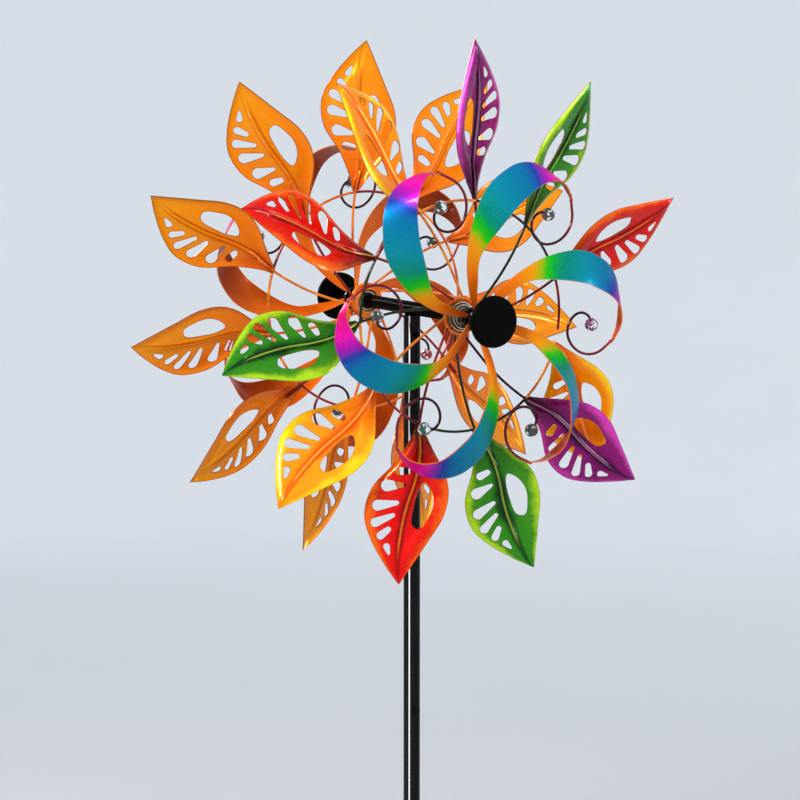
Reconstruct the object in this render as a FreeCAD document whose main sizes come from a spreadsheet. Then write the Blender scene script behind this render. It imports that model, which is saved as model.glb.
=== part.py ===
import FreeCAD, Part
import math
import os
import Sketcher

# A garden wind spinner: a black pole with a crossbar head, and four rotors on one horizontal axle.
# In front of the pole and behind it turn a wheel of stamped leaves and, outside it, a wheel of ribbons.
#
# The row's frame has +Z up the pole and its origin on the pole's axis at soil level; the spinner's
# front faces -Y. Each rotor is drawn in an axle frame: its z runs out along the axle, away from the
# pole, its y is up, and its x points right for somebody who looks at that rotor from outside.

Vector = FreeCAD.Vector
Rotation = FreeCAD.Rotation
Placement = FreeCAD.Placement

os.makedirs("parts", exist_ok=True)
doc = FreeCAD.newDocument("WindSpinner")

# Driving dimensions in millimetres and degrees.
SIZES = {
    # ground stake
    "plate_radius": 55,
    "plate_thickness": 4,
    "socket_radius": 11.5,
    "socket_bore": 9.55,
    "socket_top": 64,
    "prong_radius": 4,
    "prong_circle": 40,
    "prong_length": 146,
    "prong_spigot": 3,
    "prong_tip": 20,
    # pole
    "pole_radius": 9.5,
    "pole_bore": 8.3,
    "spigot_radius": 8.25,
    "spigot_bore": 7.05,
    "spigot_length": 45,
    "shoulder_depth": 4,
    "section_length": 470,
    "top_section_length": 478,
    "screw_height": 22,
    "screw_radius": 2,
    "screw_head_radius": 4,
    "screw_head_height": 2.5,
    "screw_length": 3.6,
    # head and axle
    "axle_height": 1430,
    "crossbar_radius": 7.5,
    "crossbar_bore": 6,
    "crossbar_end": 92,
    "crossbar_plug_start": 78,
    "head_plug_top": 6.2,
    "head_plug_length": 46.8,
    "rod_radius": 4,
    "rod_end": 162,
    "rod_chamfer": 0.8,
    "nut_radius": 7.4,
    "nut_start": 150.6,
    "nut_height": 6.5,
    # spacers: a plain one behind the leaf hub and a stepped one in front of it
    "inner_spacer_radius": 7,
    "inner_spacer_end": 97.6,
    "outer_spacer_start": 116.4,
    "outer_spacer_step": 119.6,
    "outer_spacer_neck": 123,
    "outer_spacer_end": 132,
    "outer_spacer_radius": 11,
    "outer_spacer_mid_radius": 9,
    "outer_spacer_neck_radius": 6.8,
    # leaf hub, and the bush that it turns on
    "bush_bore": 4.05,
    "bush_radius": 6.2,
    "leaf_hub_back": 98,
    "leaf_hub_plate_back": 102.4,
    "leaf_hub_plate_front": 104.8,
    "leaf_hub_boss_front": 109,
    "leaf_hub_step_front": 112.5,
    "leaf_hub_front": 116,
    "leaf_hub_barrel": 9,
    "leaf_hub_nose": 11,
    "leaf_hub_step": 13.5,
    "leaf_hub_boss": 16,
    "leaf_hub_plate": 19.3,
    # ribbon hub and its cap
    "ribbon_hub_back": 132.5,
    "ribbon_hub_collar_back": 133.5,
    "ribbon_hub_collar_front": 136,
    "ribbon_hub_pocket": 150,
    "ribbon_hub_front": 172,
    "ribbon_hub_barrel": 11,
    "ribbon_hub_pocket_radius": 9,
    "ribbon_hub_collar": 13,
    "cap_radius": 28,
    "cap_plug_start": 166,
    "cap_front": 178,
    "cap_rim": 3.5,
    # wire frame of a leaf rotor
    "wire_radius": 1.5,
    "wire_plane": 106,
    "hub_ring": 19.5,
    "brace_ring": 126.5,
    "brace_plane": 108.6,
    "stem_offset": 10.5,
    "stem_straight": 50,
    "stem_on_leaf": 26,
    # a leaf
    "leaf_length": 175,
    "leaf_sheet": 1,
    "leaf_cup_radius": 300,
    "leaf_cup_centre": 10,
    "leaf_half_width": 85,
    "leaf_turn": 13,
    "front_leaf_phase": 114.7,
    "rear_leaf_phase": 50.7,
    # a ribbon: a strip cut out of a shallow cone around its curl centre
    "ribbon_sheet": 1.2,
    "ribbon_curl_x": 48,
    "ribbon_curl_y": 106,
    "ribbon_inner": 16,
    "ribbon_outer": 112,
    "ribbon_inner_plane": 178.5,
    "ribbon_outer_plane": 135.8,
    "front_ribbon_phase": 0,
    "rear_ribbon_phase": -31,
    # scroll wire and glass ball at a ribbon's end
    "scroll_plane": 158.4,
    "scroll_start_x": 62,
    "scroll_start_y": 31,
    "scroll_turn_y": 5,
    "ball_radius": 7.5,
    "ball_plane": 160,
}

LEAVES = 11
RIBBONS = 6
PRONGS = 4

# How each leaf is set on its stem, in degrees: swung in the rotor's plane, tip leant outwards, and
# pitched about its own length. The leaves are bent by hand, so they differ a little, and the fifth
# leaf in front has been knocked far out of place. Leaves are numbered clockwise from the top left.
LEAF_SET = {
    "front": [(0, 5, 30), (-2, 5, 25), (2, 5, 25), (0, 5, 25), (-57, -8, 28), (0, 5, 29),
              (2, 5, 30), (0, 5, 30), (-2, 5, 30), (1.5, 5, 33), (0, 5, 33)],
    "rear": [(-1, 1, -28), (0, 1, -28), (0, 1, -28), (-1.2, 1, -28), (-1.6, 1, -28)]
            + [(0, 1, -28)] * 5 + [(-0.8, 1, -28)],
}

# The leaf's outline and openings as fractions of its length: along the leaf from its base, and
# across it, with + towards the side that has the one large opening.
LEAF_PLAIN_EDGE = [(0.01, 0.02), (0.13, 0.094), (0.3, 0.205), (0.42, 0.236), (0.56, 0.217),
                   (0.72, 0.142), (0.86, 0.072), (1, 0)]
LEAF_SLOT_EDGE = [(1, 0), (0.9, -0.093), (0.74, -0.21), (0.6, -0.266), (0.43, -0.242),
                  (0.25, -0.116), (0.09, -0.04), (0.01, -0.02)]
LEAF_OPENING = [(0.352, 0.08), (0.4, 0.13), (0.48, 0.151), (0.56, 0.132), (0.645, 0.082),
                (0.625, 0.035), (0.5, 0.032), (0.4, 0.05)]
# Each slot tapers from a small round end near the midrib to a larger one near the edge:
# (along, across, radius) of the small end, then of the large end.
LEAF_SLOTS = [
    ((0.297, -0.035, 0.02), (0.303, -0.085, 0.026)),
    ((0.385, -0.045, 0.012), (0.401, -0.15, 0.037)),
    ((0.5, -0.075, 0.014), (0.53, -0.192, 0.034)),
    ((0.58, -0.09, 0.014), (0.637, -0.194, 0.029)),
    ((0.67, -0.108, 0.018), (0.714, -0.151, 0.025)),
    ((0.818, -0.086, 0.009), (0.776, -0.105, 0.021)),
]

# A ribbon's two edges in millimetres from its curl centre, from the hub to the tip.
RIBBON_OUTER_EDGE = [(-50.5, -97.5), (-60, -75), (-67, -44), (-65, -4), (-46, 38), (-10, 60), (27, 60),
                     (53, 42), (63, 22)]
RIBBON_INNER_EDGE = [(60, 22), (46, 35), (18, 38), (-9, 24), (-36, -5), (-54, -38), (-52, -68), (-47, -97)]
# The scroll wire goes round in quarter turns that get tighter.
SCROLL_RADII = [32, 21, 14, 9]


def make_sheet():
    sheet = doc.addObject("Spreadsheet::Sheet", "Sizes")
    for row, (alias, value) in enumerate(SIZES.items(), start=1):
        sheet.set("A%d" % row, alias)
        sheet.set("B%d" % row, str(value))
        sheet.setAlias("B%d" % row, alias)
    doc.recompute()
    return sheet


def bind(target, path, alias, sign=1):
    target.setExpression(path, ("" if sign > 0 else "-") + "Sizes." + alias)


def new_body(label, placement=Placement()):
    body = doc.addObject("PartDesign::Body", label)
    body.Label = label
    body.AllowCompound = True
    body.Placement = placement
    return body


def datum(body, role):
    return next(item for item in body.Origin.OriginFeatures if item.Role == role)


def new_sketch(body, plane, name, offset=0):
    sketch = body.newObject("Sketcher::SketchObject", body.Name + "_" + name)
    sketch.AttachmentSupport = [(datum(body, plane), "")]
    sketch.MapMode = "FlatFace"
    sketch.AttachmentOffset = Placement(Vector(0, 0, offset), Rotation())
    return sketch


def polygon(sketch, corners, flip=1):
    """A closed loop of straight edges whose corners are pairs of aliases, or 0 for an axis."""
    def value(alias):
        return SIZES[alias] if alias else 0

    points = [Vector(value(across), flip * value(along), 0) for across, along in corners]
    first = sketch.GeometryCount
    for start, end in zip(points, points[1:] + points[:1]):
        sketch.addGeometry(Part.LineSegment(start, end))
    for index, (across, along) in enumerate(corners):
        following = first + (index + 1) % len(corners)
        sketch.addConstraint(Sketcher.Constraint("Coincident", first + index, 2, following, 1))
        for kind, alias, length, sign in (("DistanceX", across, points[index].x, 1),
                                          ("DistanceY", along, points[index].y, flip)):
            held = sketch.addConstraint(Sketcher.Constraint(kind, -1, 1, first + index, 1, length))
            if alias:
                bind(sketch, "Constraints[%d]" % held, alias, sign)


def circle(sketch, alias, centre=(0, 0)):
    index = sketch.addGeometry(Part.Circle(Vector(*centre, 0), Vector(0, 0, 1), SIZES[alias]))
    held = sketch.addConstraint(Sketcher.Constraint("Radius", index, SIZES[alias]))
    bind(sketch, "Constraints[%d]" % held, alias)
    return index


def place_centre(sketch, index, across, along):
    """Fix a circle's centre at the named distances from the sketch's axes."""
    for kind, alias in (("DistanceX", across), ("DistanceY", along)):
        length = SIZES[alias] if alias else 0
        held = sketch.addConstraint(Sketcher.Constraint(kind, -1, 1, index, 3, length))
        if alias:
            bind(sketch, "Constraints[%d]" % held, alias)


def spline(sketch, points, closed=False):
    curve = Part.BSplineCurve()
    curve.interpolate([Vector(x, y, 0) for x, y in points], PeriodicFlag=closed)
    sketch.addGeometry(curve)


def line(sketch, start, end):
    return sketch.addGeometry(Part.LineSegment(Vector(*start, 0), Vector(*end, 0)))


def rectangle(sketch, low, high):
    corners = [low, (high[0], low[1]), high, (low[0], high[1])]
    for start, end in zip(corners, corners[1:] + corners[:1]):
        line(sketch, start, end)


def arc(sketch, centre, radius, start_degrees, end_degrees):
    full = Part.Circle(Vector(*centre, 0), Vector(0, 0, 1), radius)
    turn = [math.radians(angle) for angle in (start_degrees, end_degrees)]
    return sketch.addGeometry(Part.ArcOfCircle(full, *turn))


def feature(body, kind, name, **settings):
    made = body.newObject("PartDesign::" + kind, body.Name + "_" + name)
    for setting, wanted in settings.items():
        setattr(made, setting, wanted)
    return made


def revolve(body, sketch, name="Turned"):
    return feature(body, "Revolution", name, Profile=sketch, ReferenceAxis=(sketch, ["V_Axis"]), Angle=360)


def cut_through(body, sketch, name, depth):
    """Cut a sketch's area right through, both ways from the sketch's plane."""
    doc.recompute()
    before = body.Shape.Volume
    pocket = feature(body, "Pocket", name, Profile=sketch, Midplane=True, Length=depth)
    doc.recompute()
    if body.Shape.Volume > before - 1:
        raise RuntimeError(pocket.Name + " cuts nothing")
    return pocket


def polar_pattern(body, originals, count):
    pattern = feature(body, "PolarPattern", "Round", Originals=originals, Angle=360, Occurrences=count)
    pattern.Axis = (datum(body, "Z_Axis"), [""])
    body.Tip = pattern
    return pattern


def turned(label, *loops, placement=Placement(), flips=(1,)):
    """A round piece: one or more closed profiles turned about the body's z axis."""
    body = new_body(label, placement)
    sketch = new_sketch(body, "XZ_Plane", "Profile")
    for flip in flips:
        for corners in loops:
            polygon(sketch, corners, flip)
    revolve(body, sketch)
    return body


def primitive(kind, name, placement=Placement(), **aliases):
    made = doc.addObject("Part::" + kind, name)
    made.Placement = placement
    for property_name, alias in aliases.items():
        bind(made, property_name, alias)
    return made


def combine(kind, name, **links):
    made = doc.addObject("Part::" + kind, name)
    made.Label = name
    for property_name, wanted in links.items():
        setattr(made, property_name, wanted)
    return made


# ---------------------------------------------------------------- ground stake and pole

def make_step_plate():
    body = new_body("step_plate")
    disc = new_sketch(body, "XY_Plane", "Disc")
    circle(disc, "plate_radius")
    bind(feature(body, "Pad", "Plate", Profile=disc), "Length", "plate_thickness")
    tube = new_sketch(body, "XY_Plane", "Tube")
    circle(tube, "socket_radius")
    bind(feature(body, "Pad", "Socket", Profile=tube), "Length", "socket_top")
    bore = new_sketch(body, "XY_Plane", "BoreCircle", SIZES["plate_thickness"])
    circle(bore, "socket_bore")
    feature(body, "Pocket", "Bore", Profile=bore, Type="ThroughAll", Reversed=True)
    hole = new_sketch(body, "XY_Plane", "ProngHole")
    place_centre(hole, circle(hole, "prong_spigot", (SIZES["prong_circle"], 0)), "prong_circle", 0)
    cut = feature(body, "Pocket", "Prong", Profile=hole, Type="ThroughAll", Reversed=True)
    polar_pattern(body, [cut], PRONGS)
    screw_hole(body, [socket_screw_height()])
    return body


def make_prongs():
    """Each prong shoulders against the plate's underside; a thinner spigot is riveted through the plate."""
    prongs = []
    for index in range(PRONGS):
        angle = 2 * math.pi * index / PRONGS
        x = SIZES["prong_circle"] * math.cos(angle)
        y = SIZES["prong_circle"] * math.sin(angle)
        shank_end = -SIZES["prong_length"]
        shank = primitive("Cylinder", "ProngShank%d" % index, Placement(Vector(x, y, shank_end), Rotation()),
                          Radius="prong_radius", Height="prong_length")
        tip = primitive("Cone", "ProngTip%d" % index,
                        Placement(Vector(x, y, shank_end), Rotation(Vector(1, 0, 0), 180)),
                        Radius1="prong_radius", Height="prong_tip")
        tip.Radius2 = 1
        spigot = primitive("Cylinder", "ProngSpigot%d" % index, Placement(Vector(x, y, 0), Rotation()),
                           Radius="prong_spigot", Height="plate_thickness")
        pointed = combine("Fuse", "PointedShank%d" % index, Base=shank, Tool=tip)
        prongs.append(combine("Fuse", "Prong%d" % index, Base=pointed, Tool=spigot))
    return combine("Compound", "ground_prongs", Links=prongs)


def screw_hole(body, heights):
    """Cross holes in the front of the wall, one at each height, for the screws that lock a joint."""
    sketch = new_sketch(body, "XZ_Plane", "ScrewHoles")
    for height in heights:
        circle(sketch, "screw_radius", (0, height))
    doc.recompute()
    before = body.Shape.Volume
    feature(body, "Pocket", "Screw", Profile=sketch, Type="ThroughAll", Reversed=True)
    doc.recompute()
    if body.Shape.Volume > before - 1:
        raise RuntimeError(body.Label + " has no screw hole")


def socket_screw_height():
    return SIZES["plate_thickness"] + SIZES["screw_height"]


def make_pole_section(label, start, length_alias, has_spigot):
    body = new_body(label, Placement(Vector(0, 0, start), Rotation()))
    length = SIZES[length_alias]
    sketch = new_sketch(body, "XZ_Plane", "Wall")
    if has_spigot:
        corners = [("pole_bore", 0), ("pole_radius", 0), ("pole_radius", length), ("spigot_radius", length),
                   ("spigot_radius", length + SIZES["spigot_length"]),
                   ("spigot_bore", length + SIZES["spigot_length"]),
                   ("spigot_bore", length - SIZES["shoulder_depth"]),
                   ("pole_bore", length - SIZES["shoulder_depth"])]
    else:
        corners = [("pole_bore", 0), ("pole_radius", 0), ("pole_radius", length), ("pole_bore", length)]
    points = [(SIZES[radius], height) for radius, height in corners]
    for start_point, end_point in zip(points, points[1:] + points[:1]):
        line(sketch, start_point, end_point)
    for index, (radius, height) in enumerate(corners):
        following = (index + 1) % len(corners)
        sketch.addConstraint(Sketcher.Constraint("Coincident", index, 2, following, 1))
        held = sketch.addConstraint(Sketcher.Constraint("DistanceX", -1, 1, index, 1, SIZES[radius]))
        bind(sketch, "Constraints[%d]" % held, radius)
        sketch.addConstraint(Sketcher.Constraint("DistanceY", -1, 1, index, 1, height))
    revolve(body, sketch)
    joint = length + SIZES["screw_height"] if has_spigot else length - SIZES["screw_height"]
    screw_hole(body, [SIZES["screw_height"], joint])
    return body


def make_pole():
    bottom = SIZES["plate_thickness"]
    for label in ("lower_pole", "middle_pole"):
        make_pole_section(label, bottom, "section_length", True)
        bottom += SIZES["section_length"]
    make_pole_section("upper_pole", bottom, "top_section_length", False)


def make_screws():
    """Four pan-head screws: at the socket, at both pole joints and in the head."""
    first = SIZES["plate_thickness"]
    section = SIZES["section_length"]
    top = first + 2 * section + SIZES["top_section_length"]
    seats = [(socket_screw_height(), "socket_radius")]
    seats += [(first + section * count + SIZES["screw_height"], "pole_radius") for count in (1, 2)]
    seats += [(top - SIZES["screw_height"], "pole_radius")]
    screws = []
    for index, (height, seat) in enumerate(seats):
        outward = Rotation(Vector(1, 0, 0), 90)
        inner_end = Vector(0, SIZES["screw_length"] - SIZES[seat], height)
        shank = primitive("Cylinder", "ScrewShank%d" % index, Placement(inner_end, outward),
                          Radius="screw_radius", Height="screw_length")
        head = primitive("Cylinder", "ScrewHead%d" % index,
                         Placement(Vector(0, -SIZES[seat], height), outward),
                         Radius="screw_head_radius", Height="screw_head_height")
        screws.append(combine("Fuse", "Screw%d" % index, Base=shank, Tool=head))
    return combine("Compound", "pole_screws", Links=screws)


# ---------------------------------------------------------------- head and axle

def axle_frame(side):
    """The frame that a rotor on that side is drawn in."""
    frame = Placement(Vector(0, 0, SIZES["axle_height"]), Rotation(Vector(1, 0, 0), 90))
    if side == "rear":
        frame = frame * Placement(Vector(), Rotation(Vector(0, 1, 0), 180))
    return frame


def make_crossbar():
    body = new_body("crossbar", axle_frame("front"))
    tube = new_sketch(body, "XZ_Plane", "Tube")
    polygon(tube, [("crossbar_bore", 0), ("crossbar_radius", 0), ("crossbar_radius", "crossbar_end"),
                   ("rod_radius", "crossbar_end"), ("rod_radius", "crossbar_plug_start"),
                   ("crossbar_bore", "crossbar_plug_start")])
    half = revolve(body, tube)
    other_half = feature(body, "Mirrored", "OtherHalf", Originals=[half])
    other_half.MirrorPlane = (datum(body, "XY_Plane"), [""])
    body.Tip = other_half
    plug = new_sketch(body, "XZ_Plane", "Plug", SIZES["head_plug_top"])
    circle(plug, "spigot_radius")
    pad = feature(body, "Pad", "HeadPlug", Profile=plug)
    bind(pad, "Length", "head_plug_length")
    doc.recompute()
    screw_height = SIZES["axle_height"] - SIZES["plate_thickness"] - 2 * SIZES["section_length"]
    screw_height -= SIZES["top_section_length"] - SIZES["screw_height"]
    hole = new_sketch(body, "XY_Plane", "ScrewHole")
    circle(hole, "screw_radius", (0, -screw_height))
    before = body.Shape.Volume
    feature(body, "Pocket", "Screw", Profile=hole, Type="ThroughAll", Reversed=True)
    doc.recompute()
    if body.Shape.Volume > before - 1:
        raise RuntimeError("the head plug has no screw hole")
    return body


def make_rod():
    body = new_body("axle_rod", axle_frame("front"))
    section = new_sketch(body, "XY_Plane", "Section")
    circle(section, "rod_radius")
    pad = feature(body, "Pad", "Rod", Profile=section, Midplane=True)
    pad.setExpression("Length", "2 * Sizes.rod_end")
    doc.recompute()
    rims = ["Edge%d" % (index + 1) for index, edge in enumerate(pad.Shape.Edges) if edge.isClosed()]
    chamfer = feature(body, "Chamfer", "Ends", Base=(pad, rims))
    bind(chamfer, "Size", "rod_chamfer")
    return body


def make_spacers():
    inner = [("rod_radius", "crossbar_end"), ("inner_spacer_radius", "crossbar_end"),
             ("inner_spacer_radius", "inner_spacer_end"), ("rod_radius", "inner_spacer_end")]
    outer = [("rod_radius", "outer_spacer_start"), ("outer_spacer_radius", "outer_spacer_start"),
             ("outer_spacer_radius", "outer_spacer_step"), ("outer_spacer_mid_radius", "outer_spacer_step"),
             ("outer_spacer_mid_radius", "outer_spacer_neck"),
             ("outer_spacer_neck_radius", "outer_spacer_neck"),
             ("outer_spacer_neck_radius", "outer_spacer_end"), ("rod_radius", "outer_spacer_end")]
    return turned("axle_spacers", inner, outer, placement=axle_frame("front"), flips=(1, -1))


def make_nuts():
    nuts = []
    for side in ("front", "rear"):
        place = axle_frame(side) * Placement(Vector(0, 0, SIZES["nut_start"]), Rotation())
        block = primitive("Prism", "NutBlock_" + side, place, Circumradius="nut_radius", Height="nut_height")
        hole = primitive("Cylinder", "NutHole_" + side, place, Radius="rod_radius", Height="nut_height")
        nuts.append(combine("Cut", "Nut_" + side, Base=block, Tool=hole))
    return combine("Compound", "lock_nuts", Links=nuts)


# ---------------------------------------------------------------- leaf rotor

def make_leaf_hub(side):
    place = axle_frame(side)
    turned(side + "_leaf_bush",
           [("bush_bore", "leaf_hub_back"), ("bush_radius", "leaf_hub_back"),
            ("bush_radius", "leaf_hub_front"), ("bush_bore", "leaf_hub_front")], placement=place)
    turned(side + "_leaf_hub",
           [("bush_radius", "leaf_hub_back"), ("leaf_hub_barrel", "leaf_hub_back"),
            ("leaf_hub_barrel", "leaf_hub_plate_back"), ("leaf_hub_plate", "leaf_hub_plate_back"),
            ("leaf_hub_plate", "leaf_hub_plate_front"), ("leaf_hub_boss", "leaf_hub_plate_front"),
            ("leaf_hub_boss", "leaf_hub_boss_front"), ("leaf_hub_step", "leaf_hub_boss_front"),
            ("leaf_hub_step", "leaf_hub_step_front"), ("leaf_hub_nose", "leaf_hub_step_front"),
            ("leaf_hub_nose", "leaf_hub_front"), ("bush_radius", "leaf_hub_front")], placement=place)


def stem_path(sketch):
    """A straight run beside the hub, then an arc out to the leaf's base, then a run along the leaf."""
    offset = -SIZES["stem_offset"]
    inner = math.sqrt(SIZES["hub_ring"] ** 2 - offset ** 2)
    bend = SIZES["stem_straight"]
    reach = SIZES["brace_ring"] - bend
    radius = (reach ** 2 + offset ** 2) / (2 * abs(offset))
    turn = math.degrees(math.asin(reach / radius))
    line(sketch, (inner, offset), (bend, offset))
    arc(sketch, (bend, offset + radius), radius, 270, 270 + turn)
    direction = math.radians(turn)
    end = (SIZES["brace_ring"] + SIZES["stem_on_leaf"] * math.cos(direction),
           SIZES["stem_on_leaf"] * math.sin(direction))
    line(sketch, (SIZES["brace_ring"], 0), end)
    return inner, offset


def make_wire_frame(side):
    turn = Rotation(Vector(0, 0, 1), leaf_phase(side, 0))
    body = new_body(side + "_leaf_wires", axle_frame(side) * Placement(Vector(), turn))
    path = new_sketch(body, "XY_Plane", "StemPath", SIZES["wire_plane"])
    inner, offset = stem_path(path)
    section = new_sketch(body, "YZ_Plane", "StemSection", inner)
    circle(section, "wire_radius", (offset, SIZES["wire_plane"]))
    stem = feature(body, "AdditivePipe", "Stem", Profile=section, Spine=(path, []))
    doc.recompute()
    polar_pattern(body, [stem], LEAVES)
    doc.recompute()
    rings = new_sketch(body, "XZ_Plane", "Rings")
    place_centre(rings, circle(rings, "wire_radius", (SIZES["hub_ring"], SIZES["wire_plane"])),
                 "hub_ring", "wire_plane")
    place_centre(rings, circle(rings, "wire_radius", (SIZES["brace_ring"], SIZES["brace_plane"])),
                 "brace_ring", "brace_plane")
    body.Tip = revolve(body, rings, "Rings3D")
    return body


def leaf_phase(side, index):
    """The angle at which a leaf's base sits, anticlockwise as its own rotor is seen from outside."""
    return SIZES[side + "_leaf_phase"] - 360 * index / LEAVES


def leaf_placement(side, number):
    swing, lean, pitch = LEAF_SET[side][number - 1]
    place = axle_frame(side)
    place = place * Placement(Vector(), Rotation(Vector(0, 0, 1), leaf_phase(side, number - 1)))
    base = Vector(SIZES["brace_ring"], 0, SIZES["wire_plane"])
    place = place * Placement(base, Rotation(Vector(0, 0, 1), SIZES["leaf_turn"] + swing))
    place = place * Placement(Vector(), Rotation(Vector(0, 1, 0), -lean))
    return place * Placement(Vector(), Rotation(Vector(1, 0, 0), pitch))


def scaled(points):
    return [(SIZES["leaf_length"] * along, SIZES["leaf_length"] * across) for along, across in points]


def tapered_slot(sketch, small, large):
    """Two round ends of different radius and the two straight edges that touch both."""
    (small_x, small_y), (large_x, large_y) = scaled([small[:2], large[:2]])
    small_radius = SIZES["leaf_length"] * small[2]
    large_radius = SIZES["leaf_length"] * large[2]
    span = math.hypot(large_x - small_x, large_y - small_y)
    heading = math.degrees(math.atan2(large_y - small_y, large_x - small_x))
    flare = math.degrees(math.asin((large_radius - small_radius) / span))
    touch = [heading + 90 + flare, heading - 90 - flare]

    def on_circle(x, y, radius, degrees):
        return (x + radius * math.cos(math.radians(degrees)), y + radius * math.sin(math.radians(degrees)))

    arc(sketch, (small_x, small_y), small_radius, touch[0], touch[1] + 360)
    arc(sketch, (large_x, large_y), large_radius, touch[1], touch[0])
    for angle in touch:
        line(sketch, on_circle(small_x, small_y, small_radius, angle),
             on_circle(large_x, large_y, large_radius, angle))


def make_leaf(side, number):
    """A stamped leaf: a cupped sheet trimmed to the leaf's outline and pierced."""
    body = new_body("%s_leaf_%02d" % (side, number), leaf_placement(side, number))
    cup = SIZES["leaf_cup_radius"]
    middle = -SIZES["leaf_cup_centre"]
    half_sheet = SIZES["leaf_sheet"] / 2
    spread = math.degrees(math.asin(SIZES["leaf_half_width"] / cup))
    section = new_sketch(body, "YZ_Plane", "Sheet")
    ends = []
    for radius in (cup - half_sheet, cup + half_sheet):
        arc(section, (middle, cup), radius, 270 - spread, 270 + spread)
        ends.append([(middle + radius * math.sin(math.radians(angle)),
                      cup - radius * math.cos(math.radians(angle))) for angle in (-spread, spread)])
    for inner_end, outer_end in zip(*ends):
        line(section, inner_end, outer_end)
    bind(feature(body, "Pad", "Cupped", Profile=section), "Length", "leaf_length")
    margin = SIZES["leaf_length"] / 10
    blank = new_sketch(body, "XY_Plane", "Outline")
    half_blank = SIZES["leaf_half_width"] + SIZES["leaf_cup_centre"] + margin
    rectangle(blank, (-margin, -half_blank), (SIZES["leaf_length"] + margin, half_blank))
    spline(blank, scaled(LEAF_PLAIN_EDGE))
    spline(blank, scaled(LEAF_SLOT_EDGE))
    line(blank, *scaled([LEAF_SLOT_EDGE[-1], LEAF_PLAIN_EDGE[0]]))
    cut_through(body, blank, "Trim", 2 * cup)
    openings = new_sketch(body, "XY_Plane", "Openings")
    spline(openings, scaled(LEAF_OPENING), closed=True)
    for small, large in LEAF_SLOTS:
        tapered_slot(openings, small, large)
    cut_through(body, openings, "Pierce", 2 * cup)
    return body


# ---------------------------------------------------------------- ribbon rotor

def make_ribbon_hub(side):
    place = axle_frame(side)
    turned(side + "_ribbon_bush",
           [("bush_bore", "ribbon_hub_back"), ("bush_radius", "ribbon_hub_back"),
            ("bush_radius", "ribbon_hub_pocket"), ("bush_bore", "ribbon_hub_pocket")], placement=place)
    turned(side + "_ribbon_hub",
           [("bush_radius", "ribbon_hub_back"), ("ribbon_hub_barrel", "ribbon_hub_back"),
            ("ribbon_hub_barrel", "ribbon_hub_collar_back"), ("ribbon_hub_collar", "ribbon_hub_collar_back"),
            ("ribbon_hub_collar", "ribbon_hub_collar_front"),
            ("ribbon_hub_barrel", "ribbon_hub_collar_front"),
            ("ribbon_hub_barrel", "ribbon_hub_front"), ("ribbon_hub_pocket_radius", "ribbon_hub_front"),
            ("ribbon_hub_pocket_radius", "ribbon_hub_pocket"), ("bush_radius", "ribbon_hub_pocket")],
           placement=place)


def make_cap(side):
    body = turned(side + "_hub_cap",
                  [(0, "cap_plug_start"), ("ribbon_hub_pocket_radius", "cap_plug_start"),
                   ("ribbon_hub_pocket_radius", "ribbon_hub_front"), ("cap_radius", "ribbon_hub_front"),
                   ("cap_radius", "cap_front"), (0, "cap_front")], placement=axle_frame(side))
    doc.recompute()
    disc = body.Tip
    rim = next("Edge%d" % (index + 1) for index, edge in enumerate(disc.Shape.Edges)
               if edge.isClosed() and edge.BoundBox.ZMin > SIZES["cap_front"] - 0.1
               and edge.BoundBox.XMax > SIZES["cap_radius"] - 0.1)
    bind(feature(body, "Fillet", "Rim", Base=(disc, [rim])), "Radius", "cap_rim")
    return body


def mirrored(side, points):
    """The rear ribbons are the mirror image of the front ones."""
    return points if side == "front" else [(-x, y) for x, y in points]


def curl_frame(side, index):
    """The frame at one ribbon's curl centre, with z along the axle."""
    sense = 1 if side == "front" else -1
    turn = Rotation(Vector(0, 0, 1), SIZES[side + "_ribbon_phase"] - sense * 360 * index / RIBBONS)
    centre = Vector(sense * SIZES["ribbon_curl_x"], SIZES["ribbon_curl_y"], 0)
    return axle_frame(side) * Placement(Vector(), turn) * Placement(centre, Rotation())


def make_ribbon(side, number):
    """A crescent strip cut out of a cone about the curl centre, so that its outer edge lies back."""
    body = new_body("%s_ribbon_%d" % (side, number), curl_frame(side, number - 1))
    wall = new_sketch(body, "XZ_Plane", "Wall")
    inner = SIZES["ribbon_inner"]
    outer = SIZES["ribbon_outer"]
    high = SIZES["ribbon_inner_plane"]
    low = SIZES["ribbon_outer_plane"]
    sheet = SIZES["ribbon_sheet"]
    corners = [(inner, high), (outer, low), (outer, low - sheet), (inner, high - sheet)]
    for start, end in zip(corners, corners[1:] + corners[:1]):
        line(wall, start, end)
    revolve(body, wall, "Cone")
    blank = new_sketch(body, "XY_Plane", "Outline", (high + low) / 2)
    rectangle(blank, (-outer - sheet, -outer - sheet), (outer + sheet, outer + sheet))
    edge_out = mirrored(side, RIBBON_OUTER_EDGE)
    edge_in = mirrored(side, RIBBON_INNER_EDGE)
    spline(blank, edge_out)
    spline(blank, edge_in)
    line(blank, edge_out[-1], edge_in[0])
    line(blank, edge_in[-1], edge_out[0])
    cut_through(body, blank, "Trim", 2 * (high - low))
    return body


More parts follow.
